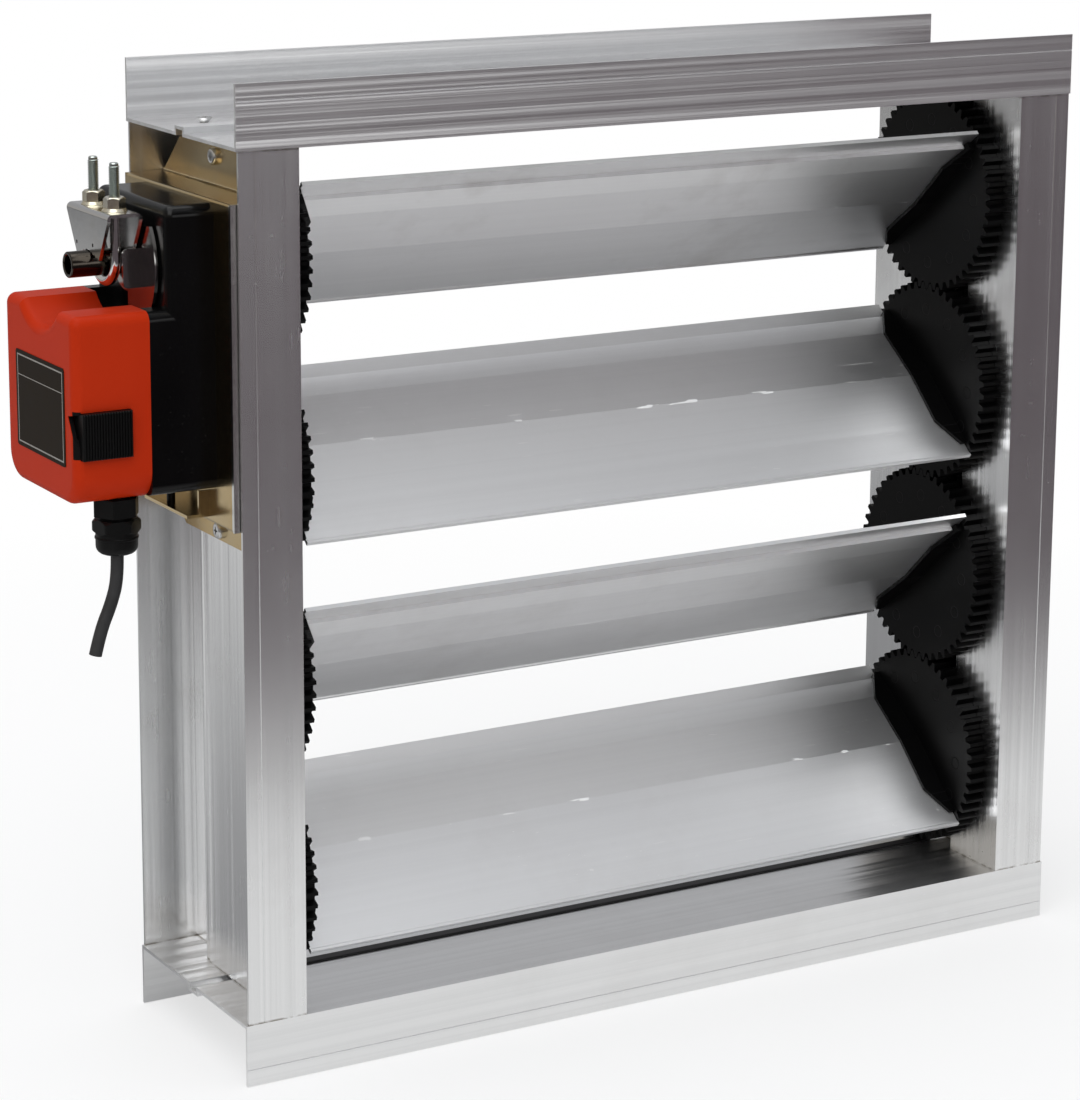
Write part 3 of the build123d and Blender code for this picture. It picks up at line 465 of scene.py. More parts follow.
def mouldedPlastic(name, look):
    m = Mat(name)
    flow, rough, normal = grained(m, look)
    specks = m.ramp(m.noise(dust["scale"], detail=1), *dust["specks"])
    dusty = specks * m.ramp(m.noise(dust["areaScale"], detail=2), *dust["areas"])
    pale = tuple(c * 1.2 + 0.004 for c in look["tone"][:3]) + (1,)
    base = m.mix(0.4 * flow, look["tone"], pale)
    base = m.mix(dusty * look["dust"], base, dust["tone"])
    rough = rough + 0.1 * dusty
    return m.finish(colour=base, rough=rough, metal=0.0, specular=look["shine"], normal=normal)


cover = {
    **plastic,
    "orange": colour(0.39, 0.021, 0.0028),
    "pale": colour(0.44, 0.029, 0.005),
    # The notch tone is painted shade, black for the shadow inside the recess beside the button
    "notchShadeTone": colour(0.006, 0.005, 0.005),
    "rough": 0.40,
    "grain": 1700,
    "grainDepth": 0.00002,
    "shine": 0.05,
    "notchTop": 0.3258,
    "notchFoot": 0.3040,
    "notchBack": -0.0325,
    "notchMargin": 0.0003,
    "skin": 0.0001,
}


def coverPlastic(name, look):
    # Fine-grained orange, with painted shade: the sloping notch that leads to the button is painted black
    # for the shadow inside it
    m = Mat(name)
    x, y, z = (m.axis(letter) for letter in "XYZ")
    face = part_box("actuator_cover")[0]
    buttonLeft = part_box("release_button")[0][0]
    shadedNotch = (x > face[0] + look["notchMargin"]) * (x < buttonLeft + look["notchMargin"])
    shadedNotch = shadedNotch * (y < look["notchBack"]) * (y > face[1] + look["skin"])
    shadedNotch = shadedNotch * (z < look["notchTop"]) * (z > look["notchFoot"])
    flow, rough, normal = grained(m, look)
    base = m.mix(0.35 * flow, look["orange"], look["pale"])
    base = m.mix(shadedNotch, base, look["notchShadeTone"])
    return m.finish(colour=base, rough=rough, metal=0.0, specular=look["shine"], normal=normal)


gear = {
    "tone": colour(0.0012, 0.0012, 0.0013),
    "paleTone": colour(0.003, 0.003, 0.0032),
    "ringTone": colour(0.012, 0.012, 0.013),
    "rough": 0.40,
    "shine": 0.10,
    "grain": 1500,
    "grainDepth": 0.00003,
    "flowScale": 30,
    "flows": (0.35, 0.7),
    "radialStretch": (40, 260, 260),
    "pins": 12,
    "pinRadius": 0.003,
    "pinCircle": 0.0375,
    "ringWidth": 0.00028,
    "ringDepth": 0.00025,
}


def gearPlastic(name, look):
    # Moulded black plastic with the rings of ejector pins round each gear's axis
    m = Mat(name)
    foot, above = (jointOf(joint)["pos_m"][2] for joint in ("fourth_turn", "third_turn"))
    pitch = above - foot
    y, z = m.axis("Y"), m.axis("Z")
    nearest = ((z - foot) / pitch).op("ROUND") * pitch + foot
    up = z - nearest
    step = 2 * math.pi / look["pins"]
    pin = (up.op("ARCTAN2", y) / step).op("ROUND") * step
    dy = y - pin.op("COSINE") * look["pinCircle"]
    dz = up - pin.op("SINE") * look["pinCircle"]
    away = (dy * dy + dz * dz).op("SQRT")
    ring = 1 - m.ramp(abs(away - look["pinRadius"]), 0.0, look["ringWidth"])
    spark = m.noise(look["grain"], detail=2)
    flow = m.noise(look["flowScale"], detail=3)
    radial = m.noise(1, look["radialStretch"], detail=3)
    base = m.mix(0.5 * m.ramp(flow, *look["flows"]), look["tone"], look["paleTone"])
    base = m.mix(0.5 * ring, base, look["ringTone"])
    rough = 0.10 * spark + 0.12 * flow + (look["rough"] - 0.11)
    normal = m.bump(spark + 0.6 * radial, 0.25, look["grainDepth"])
    normal = m.bump(1 - ring, 0.6, look["ringDepth"], normal)
    return m.finish(colour=base, rough=rough, metal=0.0, specular=look["shine"], normal=normal)


rubber = {
    "tone": colour(0.010, 0.010, 0.011),
    "paleTone": colour(0.022, 0.022, 0.023),
    "rough": 0.5,
    "cloudScale": 50,
    "clouds": (0.4, 0.7),
    "grain": 1200,
    "grainDepth": 0.00004,
}


def softRubber(name, look):
    m = Mat(name)
    grain = m.noise(look["grain"], detail=2)
    cloud = m.noise(look["cloudScale"], detail=3)
    base = m.mix(m.ramp(cloud, *look["clouds"]), look["tone"], look["paleTone"])
    rough = 0.15 * cloud + look["rough"]
    return m.finish(colour=base, rough=rough, metal=0.0, normal=m.bump(grain, 0.25, look["grainDepth"]))


label = {
    "tone": colour(0.012, 0.0075, 0.004),
    "paleTone": colour(0.018, 0.012, 0.006),
    "lineTone": colour(0.42, 0.40, 0.37),
    "lineShare": 0.6,
    "lineInset": 0.0022,
    "lineHalfWidth": 0.00035,
    "ruleDrop": 0.0115,
    "ruleHalfWidth": 0.0002,
    "mottleScale": 160,
    "mottles": (0.35, 0.7),
    "rough": 0.38,
    "shine": 0.04,
    "grain": 500,
    "grainDepth": 0.00003,
}


def printedLabel(name, look):
    # A bare dark film with a fine pale line just inside its edge and one rule across it
    m = Mat(name)
    low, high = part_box("label_plate")
    y, z = m.axis("Y"), m.axis("Z")
    sideY = abs(y - (low[1] + high[1]) / 2) - ((high[1] - low[1]) / 2 - look["lineInset"])
    sideZ = abs(z - (low[2] + high[2]) / 2) - ((high[2] - low[2]) / 2 - look["lineInset"])
    line = abs(sideY.atLeast(sideZ)) < look["lineHalfWidth"]
    rule = (abs(z - (high[2] - look["ruleDrop"])) < look["ruleHalfWidth"]) * (sideY < 0)
    mottle = m.noise(look["mottleScale"], detail=4)
    tone = m.mix(0.5 * m.ramp(mottle, *look["mottles"]), look["tone"], look["paleTone"])
    tone = m.mix(line.atLeast(rule) * look["lineShare"], tone, look["lineTone"])
    rough = 0.1 * mottle + look["rough"]
    normal = m.bump(m.noise(look["grain"], detail=2), 0.1, look["grainDepth"])
    return m.finish(colour=tone, rough=rough, metal=0.0, specular=look["shine"], normal=normal)


board = {
    "tone": colour(0.01, 0.10, 0.035),
    "trackTone": colour(0.02, 0.17, 0.06),
    "trackScale": 500,
    "trackWidth": 0.06,
    "rough": 0.3,
}


def circuitBoard(name, look):
    m = Mat(name)
    tracks = m.cellEdges(look["trackScale"], (1, 1, 0.4)) < look["trackWidth"]
    tone = m.mix(tracks, look["tone"], look["trackTone"])
    return m.finish(colour=tone, rough=0.1 * tracks + look["rough"], metal=0.0)


finishes = {
    "rail": extrudedAluminium("railAluminium", "X", 0.31, wave=0.9, lines=0.9, stains=0.1, nicks=0.2),
    "stile": stileAluminium("stileAluminium"),
    "bladeOne": bladeAluminium(1, 0.38, stains=0.35, nicks=0.25),
    "bladeTwo": bladeAluminium(2, 0.42, stains=0.1, nicks=0.9),
    "bladeThree": bladeAluminium(3, 0.40, stains=0.2, nicks=0.2),
    "bladeFour": bladeAluminium(4, 0.42, stains=0.1, nicks=0.9),
    "bracket": zincPlate("bracketZinc", bracketZinc),
    "clamp": zincPlate("clampZinc", clampZinc),
    "screw": zincPlate("screwZinc", zinc),
    "stud": brightZinc("uBoltZinc", uBoltZinc),
    "nut": zincPlate("nutZinc", nutZinc),
    "shaft": turnedSteel("shaftSteel", shaftSteel),
    "disc": turnedSteel("discSteel", discSteel),
    "gear": gearPlastic("gearPlastic", gear),
    "bearing": mouldedPlastic("bearingPlastic", bearingPlastic),
    "base": mouldedPlastic("basePlastic", basePlastic),
    "black": mouldedPlastic("blackPlastic", blackPlastic),
    "orange": coverPlastic("coverPlastic", cover),
    "label": printedLabel("labelFilm", label),
    "rubber": softRubber("blackRubber", rubber),
    "board": circuitBoard("boardGreen", board),
}

nodeFinish = {
    "top_rail": "rail", "bottom_rail": "rail", "left_stile": "stile", "right_stile": "stile",
    "blade_1": "bladeOne", "blade_2": "bladeTwo", "blade_3": "bladeThree", "blade_4": "bladeFour",
    "frame_screws": "screw", "bracket_screws": "screw", "top_seal": "rubber", "bottom_seal": "rubber",
    "bearings_left": "bearing", "bearings_right": "bearing", "drive_shaft": "shaft", "drive_hub": "black",
    "stop_disc": "disc", "clamp_bracket": "clamp", "clamp_u_bolt": "stud", "clamp_nuts": "nut",
    "actuator_bracket": "bracket", "anti_rotation_strap": "bracket", "actuator_base": "base",
    "actuator_cover": "orange", "label_plate": "label", "release_button": "black",
    "button_spring": "screw", "gland_body": "black", "gland_nut": "black", "motor": "shaft",
    "motor_pinion": "black", "idler_gear": "black", "gear_plate": "bracket", "control_board": "board",
}
for side in ("left", "right"):
    for number in range(1, 5):
        nodeFinish[f"gear_{side}_{number}"] = "gear"
for name, finish in nodeFinish.items():
    slots = nodes[name].data.materials
    slots.clear()
    slots.append(finishes[finish])
print("finishes given to", len(nodeFinish), "nodes")


# Cable: a short length below the gland, cut bare
cable = {
    "diameter": 0.006,
    "length": 0.0488,
    # How far out from the stile, how far back and how far below the nut
    "route": [(0.0458, -0.024, 0.0), (0.0458, -0.024, 0.012), (0.0492, -0.0236, 0.024),
              (0.0543, -0.0232, 0.0355), (0.0571, -0.023, 0.047)],
}


def makeCable(c):
    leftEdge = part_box("left_stile")[0][0]
    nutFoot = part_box("gland_nut")[0][2]
    points = [(leftEdge - out, y, nutFoot - drop) for out, y, drop in c["route"]]
    data = bpy.data.curves.new("cableSheath", "CURVE")
    data.dimensions = "3D"
    spline = data.splines.new("NURBS")
    spline.points.add(len(points) - 1)
    for point, place in zip(spline.points, points):
        point.co = (*place, 1)
    spline.order_u = 3
    spline.use_endpoint_u = True
    data.resolution_u = 12
    data.bevel_depth = c["diameter"] / 2
    data.bevel_resolution = 6
    data.use_fill_caps = True
    obj = bpy.data.objects.new("cableSheath", data)
    bpy.context.scene.collection.objects.link(obj)
    obj.data.materials.append(finishes["rubber"])
    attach(obj, "frame")
    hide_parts("cable")


makeCable(cable)
print("cable made")


# Modelling helpers: each new piece starts as a primitive and keeps its origin at the world's
hair = 1e-5  # what lies nearer to a plane than this counts as in it
smoothBelow = 34  # degrees between faces that are shaded smooth


def alone(obj=None):
    if bpy.context.object and bpy.context.object.mode != "OBJECT":
        bpy.ops.object.mode_set(mode="OBJECT")
    bpy.ops.object.select_all(action="DESELECT")
    if obj:
        obj.select_set(True)
        bpy.context.view_layer.objects.active = obj


def settled(name):
    obj = bpy.context.object
    obj.name = name
    bpy.ops.object.transform_apply(location=True, rotation=True, scale=True)
    return obj


def cylinder(name, radius, depth, middle, turn=(0, 0, 0), top=None, sides=60):
    alone()
    place = {"depth": depth, "location": middle, "rotation": turn}
    if top is None:
        bpy.ops.mesh.primitive_cylinder_add(vertices=sides, radius=radius, **place)
    else:
        bpy.ops.mesh.primitive_cone_add(vertices=sides, radius1=radius, radius2=top, **place)
    return settled(name)


def choose(obj, kind, test):
    # Go to edit mode with only the vertices, edges or faces selected whose middle passes the test
    alone(obj)
    bpy.ops.object.mode_set(mode="EDIT")
    bpy.ops.mesh.select_mode(type=kind)
    bpy.ops.mesh.select_all(action="DESELECT")
    bpy.ops.object.mode_set(mode="OBJECT")
    mesh = obj.data
    if kind == "VERT":
        for v in mesh.vertices:
            v.select = test(v.co)
    elif kind == "EDGE":
        # An edge needs both of its ends to pass too
        for e in mesh.edges:
            a, b = (mesh.vertices[i].co for i in e.vertices)
            e.select = bool(test((a + b) / 2) and test(a) and test(b))
    else:
        for f in mesh.polygons:
            f.select = test(f.center)
    bpy.ops.object.mode_set(mode="EDIT")


def bevelWhere(obj, test, width, segments=2):
    choose(obj, "EDGE", test)
    bpy.ops.mesh.bevel(offset=width, segments=segments, affect="EDGES")
    bpy.ops.object.mode_set(mode="OBJECT")


def cutWith(obj, tool, operation="DIFFERENCE"):
    alone(obj)
    step = obj.modifiers.new("cut", "BOOLEAN")
    step.operation = operation
    step.object = tool
    step.solver = "EXACT"
    bpy.ops.object.modifier_apply(modifier="cut")
    bpy.data.objects.remove(tool)
    return obj


def joined(name, *parts):
    alone(parts[0])
    for other in parts[1:]:
        other.select_set(True)
    bpy.ops.object.join()
    bpy.context.object.name = name
    return bpy.context.object


def copied(obj, shift):
    alone(obj)
    bpy.ops.object.duplicate_move(TRANSFORM_OT_translate={"value": shift})
    bpy.ops.object.transform_apply(location=True, rotation=True, scale=True)
    return bpy.context.object


def dressed(obj, finish, body, node):
    alone(obj)
    bpy.ops.object.mode_set(mode="EDIT")
    bpy.ops.mesh.select_all(action="SELECT")
    bpy.ops.mesh.normals_make_consistent(inside=False)
    bpy.ops.object.mode_set(mode="OBJECT")
    bpy.ops.object.shade_smooth_by_angle(angle=math.radians(smoothBelow))
    obj.data.materials.clear()
    obj.data.materials.append(finishes[finish])
    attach(obj, body)
    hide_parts(node)


# Button spring: a folded leaf inside the cover
buttonSpring = {"leaf": 0.0005}


def makeButtonSpring(s):
    low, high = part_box("button_spring")
    half = s["leaf"] / 2
    left, right = low[0] + half, high[0] - half
    near, far = low[1] + half, high[1] - half
    tall = high[2] - low[2]
    middle = ((left + right) / 2, far, low[2] + tall / 2)
    alone()
    bpy.ops.mesh.primitive_plane_add(size=1, location=middle, rotation=(math.pi / 2, 0, 0))
    spring = settled("buttonLeafSpring")
    choose(spring, "VERT", lambda v: True)
    bpy.ops.transform.resize(value=(right - left, 1, tall))
    folds = [(right, far), (left, (near + far) / 2), (right, near), (left, near)]
    for (x, y), (nextX, nextY) in zip(folds, folds[1:]):
        choose(spring, "VERT", lambda v: abs(v.x - x) < hair and abs(v.y - y) < hair)
        bpy.ops.mesh.extrude_region_move(TRANSFORM_OT_translate={"value": (nextX - x, nextY - y, 0)})
    bpy.ops.object.mode_set(mode="OBJECT")
    leaf = spring.modifiers.new("leaf", "SOLIDIFY")
    leaf.thickness = s["leaf"]
    leaf.offset = 0
    bpy.ops.object.modifier_apply(modifier="leaf")
    dressed(spring, "screw", "frame", "button_spring")
    press = jointOf("button_press")
    seat = press["deforming_nodes"][0]["fixed_end_y_m"]
    1 - press["range_m"][1] / (seat - low[1])
    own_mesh(spring)


makeButtonSpring(buttonSpring)
print("button spring folded")


# U-bolt: a bent rod with rolled threads on both free ends
uBolt = {
    "sides": 28,
    "bendSteps": 26,
    "pitch": 0.0008,
    "rootRadius": 0.00208,
    "rootSink": 0.00004,
    "ridgeShare": 0.9,
    "crestShare": 0.18,
    "stepsPerTurn": 18,
    "threadBelowNut": 0.001,
    "runOut": 0.0002,
    "chamfer": 0.0005,
    "chamferShrink": 0.8,
}


def threadRidge(name, b, outer, turns, foot, x, y):
    root, pitch = b["rootRadius"] - b["rootSink"], b["pitch"]
    middle = (root + outer) / 2
    alone()
    bpy.ops.mesh.primitive_plane_add(size=1, location=(middle, 0, 0), rotation=(math.pi / 2, 0, 0))
    ridge = settled(name)
    choose(ridge, "VERT", lambda v: True)
    size = (outer - root, 1, pitch * b["ridgeShare"])
    bpy.ops.transform.resize(value=size, center_override=(middle, 0, 0))
    choose(ridge, "VERT", lambda v: v.x > middle)
    bpy.ops.transform.resize(value=(1, 1, b["crestShare"]), center_override=(middle, 0, 0))
    choose(ridge, "FACE", lambda f: True)
    bpy.ops.mesh.delete(type="ONLY_FACE")
    bpy.ops.object.mode_set(mode="OBJECT")
    step = ridge.modifiers.new("thread", "SCREW")
    step.screw_offset = pitch
    step.iterations = turns
    step.steps = step.render_steps = b["stepsPerTurn"]
    bpy.ops.object.modifier_apply(modifier="thread")
    choose(ridge, "VERT", lambda v: True)
    bpy.ops.mesh.fill_holes(sides=4)
    bpy.ops.transform.translate(value=(x, y, foot))
    bpy.ops.object.mode_set(mode="OBJECT")
    return ridge


def makeUBolt(b):
    low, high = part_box("clamp_u_bolt")
    rod = (high[0] - low[0]) / 2
    half = (high[1] - low[1]) / 2 - rod
    x = (low[0] + high[0]) / 2
    loop = low[2] + rod + half
    top = high[2]
    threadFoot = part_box("clamp_nuts")[1][2] - b["threadBelowNut"]
    alone()
    bpy.ops.mesh.primitive_circle_add(vertices=b["sides"], radius=rod, location=(x, -half, loop))
    bolt = settled("uBoltRod")
    choose(bolt, "VERT", lambda v: True)
    bpy.ops.mesh.spin(steps=b["bendSteps"], angle=-math.pi, center=(x, 0, loop), axis=(1, 0, 0))
    bpy.ops.object.mode_set(mode="OBJECT")
    # Each rise of both ends, and the share to which its end is drawn in
    rises = [(threadFoot - loop, 1), (b["runOut"], b["rootRadius"] / rod),
             (top - threadFoot - b["runOut"] - b["chamfer"], 1), (b["chamfer"], b["chamferShrink"])]
    level = loop
    for height, shrink in rises:
        choose(bolt, "VERT", lambda v: v.z > level - hair)
        bpy.ops.mesh.extrude_region_move(TRANSFORM_OT_translate={"value": (0, 0, height)})
        level += height
        for side in (-half, half):
            choose(bolt, "VERT", lambda v: v.z > level - hair and v.y * side > 0)
            bpy.ops.transform.resize(value=(shrink, shrink, 1), center_override=(x, side, level))
    for side in (-half, half):
        choose(bolt, "VERT", lambda v: v.z > level - hair and v.y * side > 0)
        bpy.ops.mesh.edge_face_add()
    bpy.ops.object.mode_set(mode="OBJECT")
    turns = int((top - b["chamfer"] - threadFoot) / b["pitch"]) - 1
    foot = threadFoot + b["pitch"] / 2
    near = threadRidge("nearThread", b, rod, turns, foot, x, -half)
    far = threadRidge("farThread", b, rod, turns, foot, x, half)
    dressed(joined("uBoltThreads", near, far, bolt), "stud", "drive", "clamp_u_bolt")


makeUBolt(uBolt)
print("U-bolt threaded")


# Flanged nuts on the U-bolt
clampNut = {
    "across": 0.009,
    "corner": 0.0011,
    "crownRoom": 0.0001,
    "flange": 0.0014,
    "flangeSlope": 0.84,
    "flangeEdge": 0.0002,
    "holeRadius": 0.00265,
    "holeDepth": 0.001,
    "holeEdge": 0.0001,
}


def makeClampNuts(n):
    low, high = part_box("clamp_nuts")
    x = (low[0] + high[0]) / 2
    flangeRadius = (high[0] - low[0]) / 2
    y = low[1] + flangeRadius
    hexFoot = low[2] + n["flange"]
    height = high[2] - hexFoot
    flange = cylinder("nutFlange", flangeRadius, n["flange"], (x, y, low[2] + n["flange"] / 2), sides=44)
    choose(flange, "VERT", lambda v: v.z > hexFoot - hair)
    bpy.ops.transform.resize(value=(n["flangeSlope"],) * 2 + (1,), center_override=(x, y, hexFoot))
    bevelWhere(flange, lambda e: abs(e.z - low[2]) < hair, n["flangeEdge"], 1)
    reach = n["across"] / 2 / math.cos(math.pi / 6)
    middle = (x, y, hexFoot + height / 2)
    body = cylinder("nutHexagon", reach, height, middle, sides=6)
    crown = cylinder("nutCrown", reach + n["crownRoom"], height, middle, sides=48)
    bevelWhere(crown, lambda e: e.z > high[2] - hair, n["corner"], 1)
    body = cutWith(body, crown, "INTERSECT")
    hole = cylinder("nutHole", n["holeRadius"], 2 * n["holeDepth"], (x, y, high[2]), sides=32)
    bevelWhere(hole, lambda e: e.z > high[2], n["holeEdge"], 1)
    body = cutWith(body, hole)
    near = joined("nearNut", body, flange)
    far = copied(near, (0, -2 * y, 0))
    dressed(joined("clampNutPair", near, far), "nut", "drive", "clamp_nuts")


makeClampNuts(clampNut)
print("nuts made")


# Screws with a cross recess: pan heads on the bracket, countersunk heads on the rails
crossRecess = {"length": 0.0044, "width": 0.0009, "depth": 0.0015, "waist": 0.0016, "taper": 0.7}


def crossCut(head, c, spot, outward):
    # Two slots and a small square between them, sunk into the head's face at a spot on it
    across = [i for i in range(3) if abs(outward[i]) < 0.5]
    long, thin, waist = c["length"], c["width"], c["waist"]
    for first, second in ((long, thin), (thin, long), (waist, waist)):
        size = [2 * c["depth"]] * 3
        size[across[0]], size[across[1]] = first, second
        alone()
        bpy.ops.mesh.primitive_cube_add(size=1, location=spot, scale=size)
        tool = settled("recessTool")
        deep = Vector(spot) - Vector(outward) * c["depth"] * 0.5
        choose(tool, "VERT", lambda v: (v - deep).dot(Vector(outward)) < 0)
        bpy.ops.transform.resize(value=(c["taper"],) * 3, center_override=tuple(deep))
        bpy.ops.object.mode_set(mode="OBJECT")
        head = cutWith(head, tool)
    return head


panHead = {"radius": 0.004, "height": 0.0026, "crown": 0.0012, "shank": 0.0018, "tip": 0.0005}


def makeBracketScrews(p):
    low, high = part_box("bracket_screws")
    z = low[2] + p["radius"]
    turn = (0, math.pi / 2, 0)
    neck = low[0] + p["height"]
    head = cylinder("panHead", p["radius"], p["height"], (low[0] + p["height"] / 2, 0, z), turn, sides=40)
    bevelWhere(head, lambda e: e.x < low[0] + hair, p["crown"], 4)
    length = high[0] - low[0] - p["height"]
    shank = cylinder("panShank", p["shank"], length, ((neck + high[0]) / 2, 0, z), turn, sides=20)
    bevelWhere(shank, lambda e: e.x > high[0] - hair, p["tip"], 1)
    head = crossCut(head, crossRecess, (low[0], 0, z), (-1, 0, 0))
    lower = joined("lowerScrew", head, shank)
    upper = copied(lower, (0, 0, high[2] - low[2] - 2 * p["radius"]))
    pair = joined("bracketScrewPair", lower, upper)
    dressed(pair, "screw", "frame", "bracket_screws")


makeBracketScrews(panHead)

countersunk = {
    "radius": 0.0041,
    "height": 0.0026,
    "rim": 0.00035,
    "shank": 0.00185,
    "length": 0.0166,
    "tip": 0.0005,
}


def makeFrameScrews(c):
    low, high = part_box("frame_screws")
    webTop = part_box("top_rail")[1][2]
    x, y = low[0] + c["radius"], low[1] + c["radius"]
    face, neck, tip = high[2], high[2] - c["height"], high[2] - c["length"]
    middle = (x, y, (face + neck) / 2)
    head = cylinder("sunkHead", c["shank"], c["height"], middle, top=c["radius"], sides=40)
    bevelWhere(head, lambda e: e.z > face - hair, c["rim"], 2)
    shank = cylinder("sunkShank", c["shank"], c["length"] - c["height"], (x, y, (neck + tip) / 2), sides=20)
    bevelWhere(shank, lambda e: e.z < tip + hair, c["tip"], 1)
    head = crossCut(head, crossRecess, (x, y, face), (0, 0, 1))
    first = joined("frameScrew", head, shank)
    acrossX, acrossY = high[0] - low[0] - 2 * c["radius"], high[1] - low[1] - 2 * c["radius"]
    corners = ((acrossX, 0), (0, acrossY), (acrossX, acrossY))
    upper = joined("upperFrameScrews", first, *[copied(first, (dx, dy, 0)) for dx, dy in corners])
    lower = copied(upper, (0, 0, 0))
    choose(lower, "VERT", lambda v: True)
    bpy.ops.transform.resize(value=(1, 1, -1), center_override=(0, 0, webTop / 2))
    bpy.ops.object.mode_set(mode="OBJECT")
    dressed(joined("frameScrewSet", upper, lower), "screw", "frame", "frame_screws")


makeFrameScrews(countersunk)
print("screws made")


# Gland nut: a hexagonal grip above a domed collar that closes on the cable
glandNut = {
    "grip": 0.0065,
    "gripTurn": 12,
    "corner": 0.0013,
    "crownRoom": 0.0002,
    "waist": 0.0097,
    "neckInGrip": 0.001,
    "dome": 0.004,
    "lip": 0.0012,
    "lipDepth": 0.0012,
    "ringHeight": 0.0012,
    "ringProud": 0.0004,
    "ringDrop": 0.0022,
    "ringEdge": 0.0003,
}


def makeGlandNut(g):
    low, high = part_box("gland_nut")
    x, y = (low[0] + high[0]) / 2, (low[1] + high[1]) / 2
    reach = (high[0] - low[0]) / 2
    gripFoot = high[2] - g["grip"]
    middle = (x, y, gripFoot + g["grip"] / 2)
    grip = cylinder("glandGrip", reach, g["grip"], middle, (0, 0, math.radians(g["gripTurn"])), sides=6)
    crown = cylinder("glandCrown", reach - g["crownRoom"], g["grip"], middle)
    bevelWhere(crown, lambda e: abs(e.z - gripFoot) < hair or abs(e.z - high[2]) < hair, g["corner"], 1)
    grip = cutWith(grip, crown, "INTERSECT")
    neckHeight = gripFoot - low[2] + g["neckInGrip"]
    dome = cylinder("glandDome", g["waist"], neckHeight, (x, y, low[2] + neckHeight / 2))
    bevelWhere(dome, lambda e: e.z < low[2] + hair, g["dome"], 6)
    choose(dome, "FACE", lambda f: f.z < low[2] + hair)
    bpy.ops.mesh.inset(thickness=g["lip"])
    bpy.ops.mesh.extrude_region_move(TRANSFORM_OT_translate={"value": (0, 0, g["lipDepth"])})
    bpy.ops.object.mode_set(mode="OBJECT")
    middle = (x, y, gripFoot - g["ringDrop"])
    ring = cylinder("glandRing", g["waist"] + g["ringProud"], g["ringHeight"], middle)
    bevelWhere(ring, lambda e: True, g["ringEdge"], 1)
    dressed(joined("glandCapNut", grip, dome, ring), "black", "frame", "gland_nut")


makeGlandNut(glandNut)
print("gland nut made")


# Floor, lights and background: a white sheet in a darker room, and a soft box in front that metal mirrors
studio = {
    "floorTone": colour(0.86, 0.86, 0.86),
    "floorSize": 14,
    "floorDrop": 0.0005,
    "grainScale": 0.8,
    "grainShare": 0.985,
    "shadowReach": (0.35, 1.0),
    "nearWhite": 0.60,
    "white": colour(1, 1, 1),
    "mirroredShare": 0.85,
    "mirroredWhite": colour(0.76, 0.76, 0.755),
    "mirroredShade": colour(0.17, 0.17, 0.175),
    "shadeBehind": (-0.06, 0.12),
    "shadeLeft": (0.3, 0.7),
    "sheetFront": (0.36, 0.70),
    "sheetSlant": 0.25,
    "sheetSides": (1.04, 1.24),
    "roomDepth": (-0.4, 0.3),
    "frontRoom": colour(0.097, 0.080, 0.088),
    "sideRoom": colour(0.19, 0.19, 0.195),
    "leftRoom": colour(0.50, 0.46, 0.40),
    "leftWay": (0.2, 0.6),
    "leftShare": 0.8,
    "backRoom": colour(0.42, 0.42, 0.43),
    "aheadWay": (-0.25, 0.25),
    "aheadLeast": 0.05,
    "softBox": colour(2.0, 2.0, 2.0),
    "softBoxLeft": (-0.35, 0.05),
    "softBoxRight": (0.45, 0.70),
    "softBoxFoot": (-0.03, 0.07),
    "softBoxTop": (0.20, 0.32),
    "ceiling": colour(0.56, 0.57, 0.59),
    "ceilingWay": (0.45, 0.75),
    "skyLow": colour(0.30, 0.30, 0.30),
    "skyHigh": colour(0.62, 0.63, 0.65),
    "lampAim": (0, 0, 0.24),
    "key": {"place": (-1.5, -1.5, 2.3), "size": 2.3, "power": 38},
    "fill": {"place": (1.9, -1.3, 1.3), "size": 1.2, "power": 3},
    "top": {"place": (-0.25, 0.2, 2.6), "size": 2.2, "power": 27},
}


def areaLight(name, aim, place, size, power):
    data = bpy.data.lights.new(name, "AREA")
    data.shape = "SQUARE"
    data.size = size
    data.energy = power
    obj = bpy.data.objects.new(name, data)
    bpy.context.scene.collection.objects.link(obj)
    turn = (Vector(aim) - Vector(place)).to_track_quat("-Z", "Y")
    obj.matrix_world = Matrix.Translation(Vector(place)) @ turn.to_matrix().to_4x4()


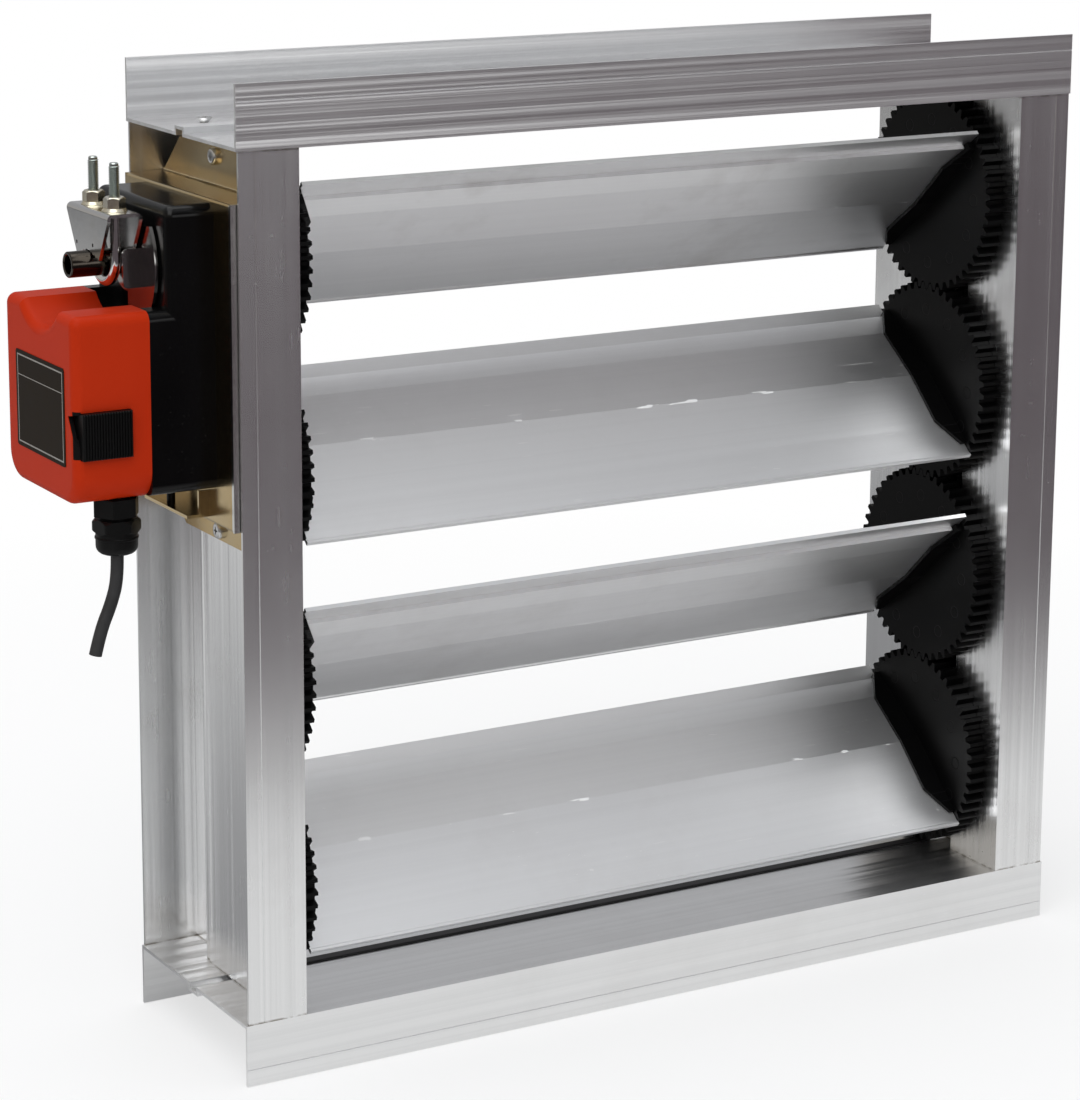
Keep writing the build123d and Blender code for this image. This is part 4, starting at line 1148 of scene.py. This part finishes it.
def floorPaper(s):
    # Pale paper that takes the shadow near the damper and turns plain white further out
    m = Mat("floorPaper")
    path = m.node("ShaderNodeLightPath")
    seen = path.out("Is Camera Ray").atLeast(path.out("Is Transmission Ray"))
    mirrored = path.out("Is Glossy Ray")
    x, y = m.axis("X"), m.axis("Y")
    away = (x * x + y * y).op("SQRT")
    lift = m.ramp(away, *s["shadowReach"]) * (1 - s["nearWhite"]) + s["nearWhite"]
    mottle = m.noise(s["grainScale"], detail=2)
    grain = m.mix(mottle, s["floorTone"], dimmer(s["floorTone"], s["grainShare"]))
    paper = m.node("ShaderNodeBsdfDiffuse", None, {"Color": grain}).out()
    shade = m.ramp(y, *s["shadeBehind"]) * (1 - s["leftShare"] * m.ramp(x * -1, *s["shadeLeft"]))
    sheet = m.mix(shade, s["mirroredWhite"], s["mirroredShade"])
    sheet = m.mix(seen, sheet, s["white"])
    white = m.node("ShaderNodeEmission", None, {"Color": sheet}).out()
    shown = (seen * lift).atLeast(mirrored * s["mirroredShare"])
    near = m.node("ShaderNodeMixShader", None, {0: shown, 1: paper, 2: white}).out()
    front = m.ramp(y * -1 + s["sheetSlant"] * x, *s["sheetFront"])
    side = m.ramp(abs(x), *s["sheetSides"])
    tone = m.mix(m.ramp(y, *s["roomDepth"]), s["frontRoom"], s["sideRoom"])
    room = m.node("ShaderNodeEmission", None, {"Color": tone}).out()
    beyond = mirrored * front.atLeast(side)
    whole = m.node("ShaderNodeMixShader", None, {0: beyond, 1: near, 2: room}).out()
    m.node("ShaderNodeOutputMaterial", None, {"Surface": whole})
    return m.data


def studioWorld(s):
    # White to the camera, a plain sky to matt surfaces, and the room with its soft box to shiny ones
    world = bpy.context.scene.world or bpy.data.worlds.new("studioWorld")
    bpy.context.scene.world = world
    world.use_nodes = True
    w = Mat("studioWorld", world.node_tree)
    way = w.node("ShaderNodeSeparateXYZ", None, {0: w.node("ShaderNodeTexCoord").out("Generated")})
    x, y, z = way.out("X"), way.out("Y"), way.out("Z")
    path = w.node("ShaderNodeLightPath")
    seen = path.out("Is Camera Ray").atLeast(path.out("Is Transmission Ray"))
    plain = w.mix(0.5 + 0.5 * z, s["skyLow"], s["skyHigh"])
    ahead = w.ramp(y * -1, *s["aheadWay"])
    room = w.mix(ahead, s["backRoom"], s["frontRoom"])
    room = w.mix(s["leftShare"] * w.ramp(x * -1, *s["leftWay"]), room, s["leftRoom"])
    aside = x / (y * -1).atLeast(s["aheadLeast"])
    box = ahead * w.ramp(aside, *s["softBoxLeft"]) * (1 - w.ramp(aside, *s["softBoxRight"]))
    box = box * w.ramp(z, *s["softBoxFoot"]) * (1 - w.ramp(z, *s["softBoxTop"]))
    room = w.mix(box, room, s["softBox"])
    room = w.mix(w.ramp(z, *s["ceilingWay"]), room, s["ceiling"])
    tone = w.mix(path.out("Is Glossy Ray"), plain, room)
    tone = w.mix(seen, tone, s["white"])
    back = w.node("ShaderNodeBackground", None, {"Color": tone}).out()
    w.node("ShaderNodeOutputWorld", None, {"Surface": back})


def makeStudio(s):
    alone()
    bpy.ops.mesh.primitive_plane_add(size=s["floorSize"], location=(0, 0, -s["floorDrop"]))
    floor = bpy.context.object
    floor.name = "studioFloor"
    floor.data.materials.append(floorPaper(s))
    for name in ("key", "fill", "top"):
        areaLight(name + "Light", s["lampAim"], **s[name])
    studioWorld(s)
    bpy.context.scene.view_settings.view_transform = "Standard"


makeStudio(studio)
print("studio lit")
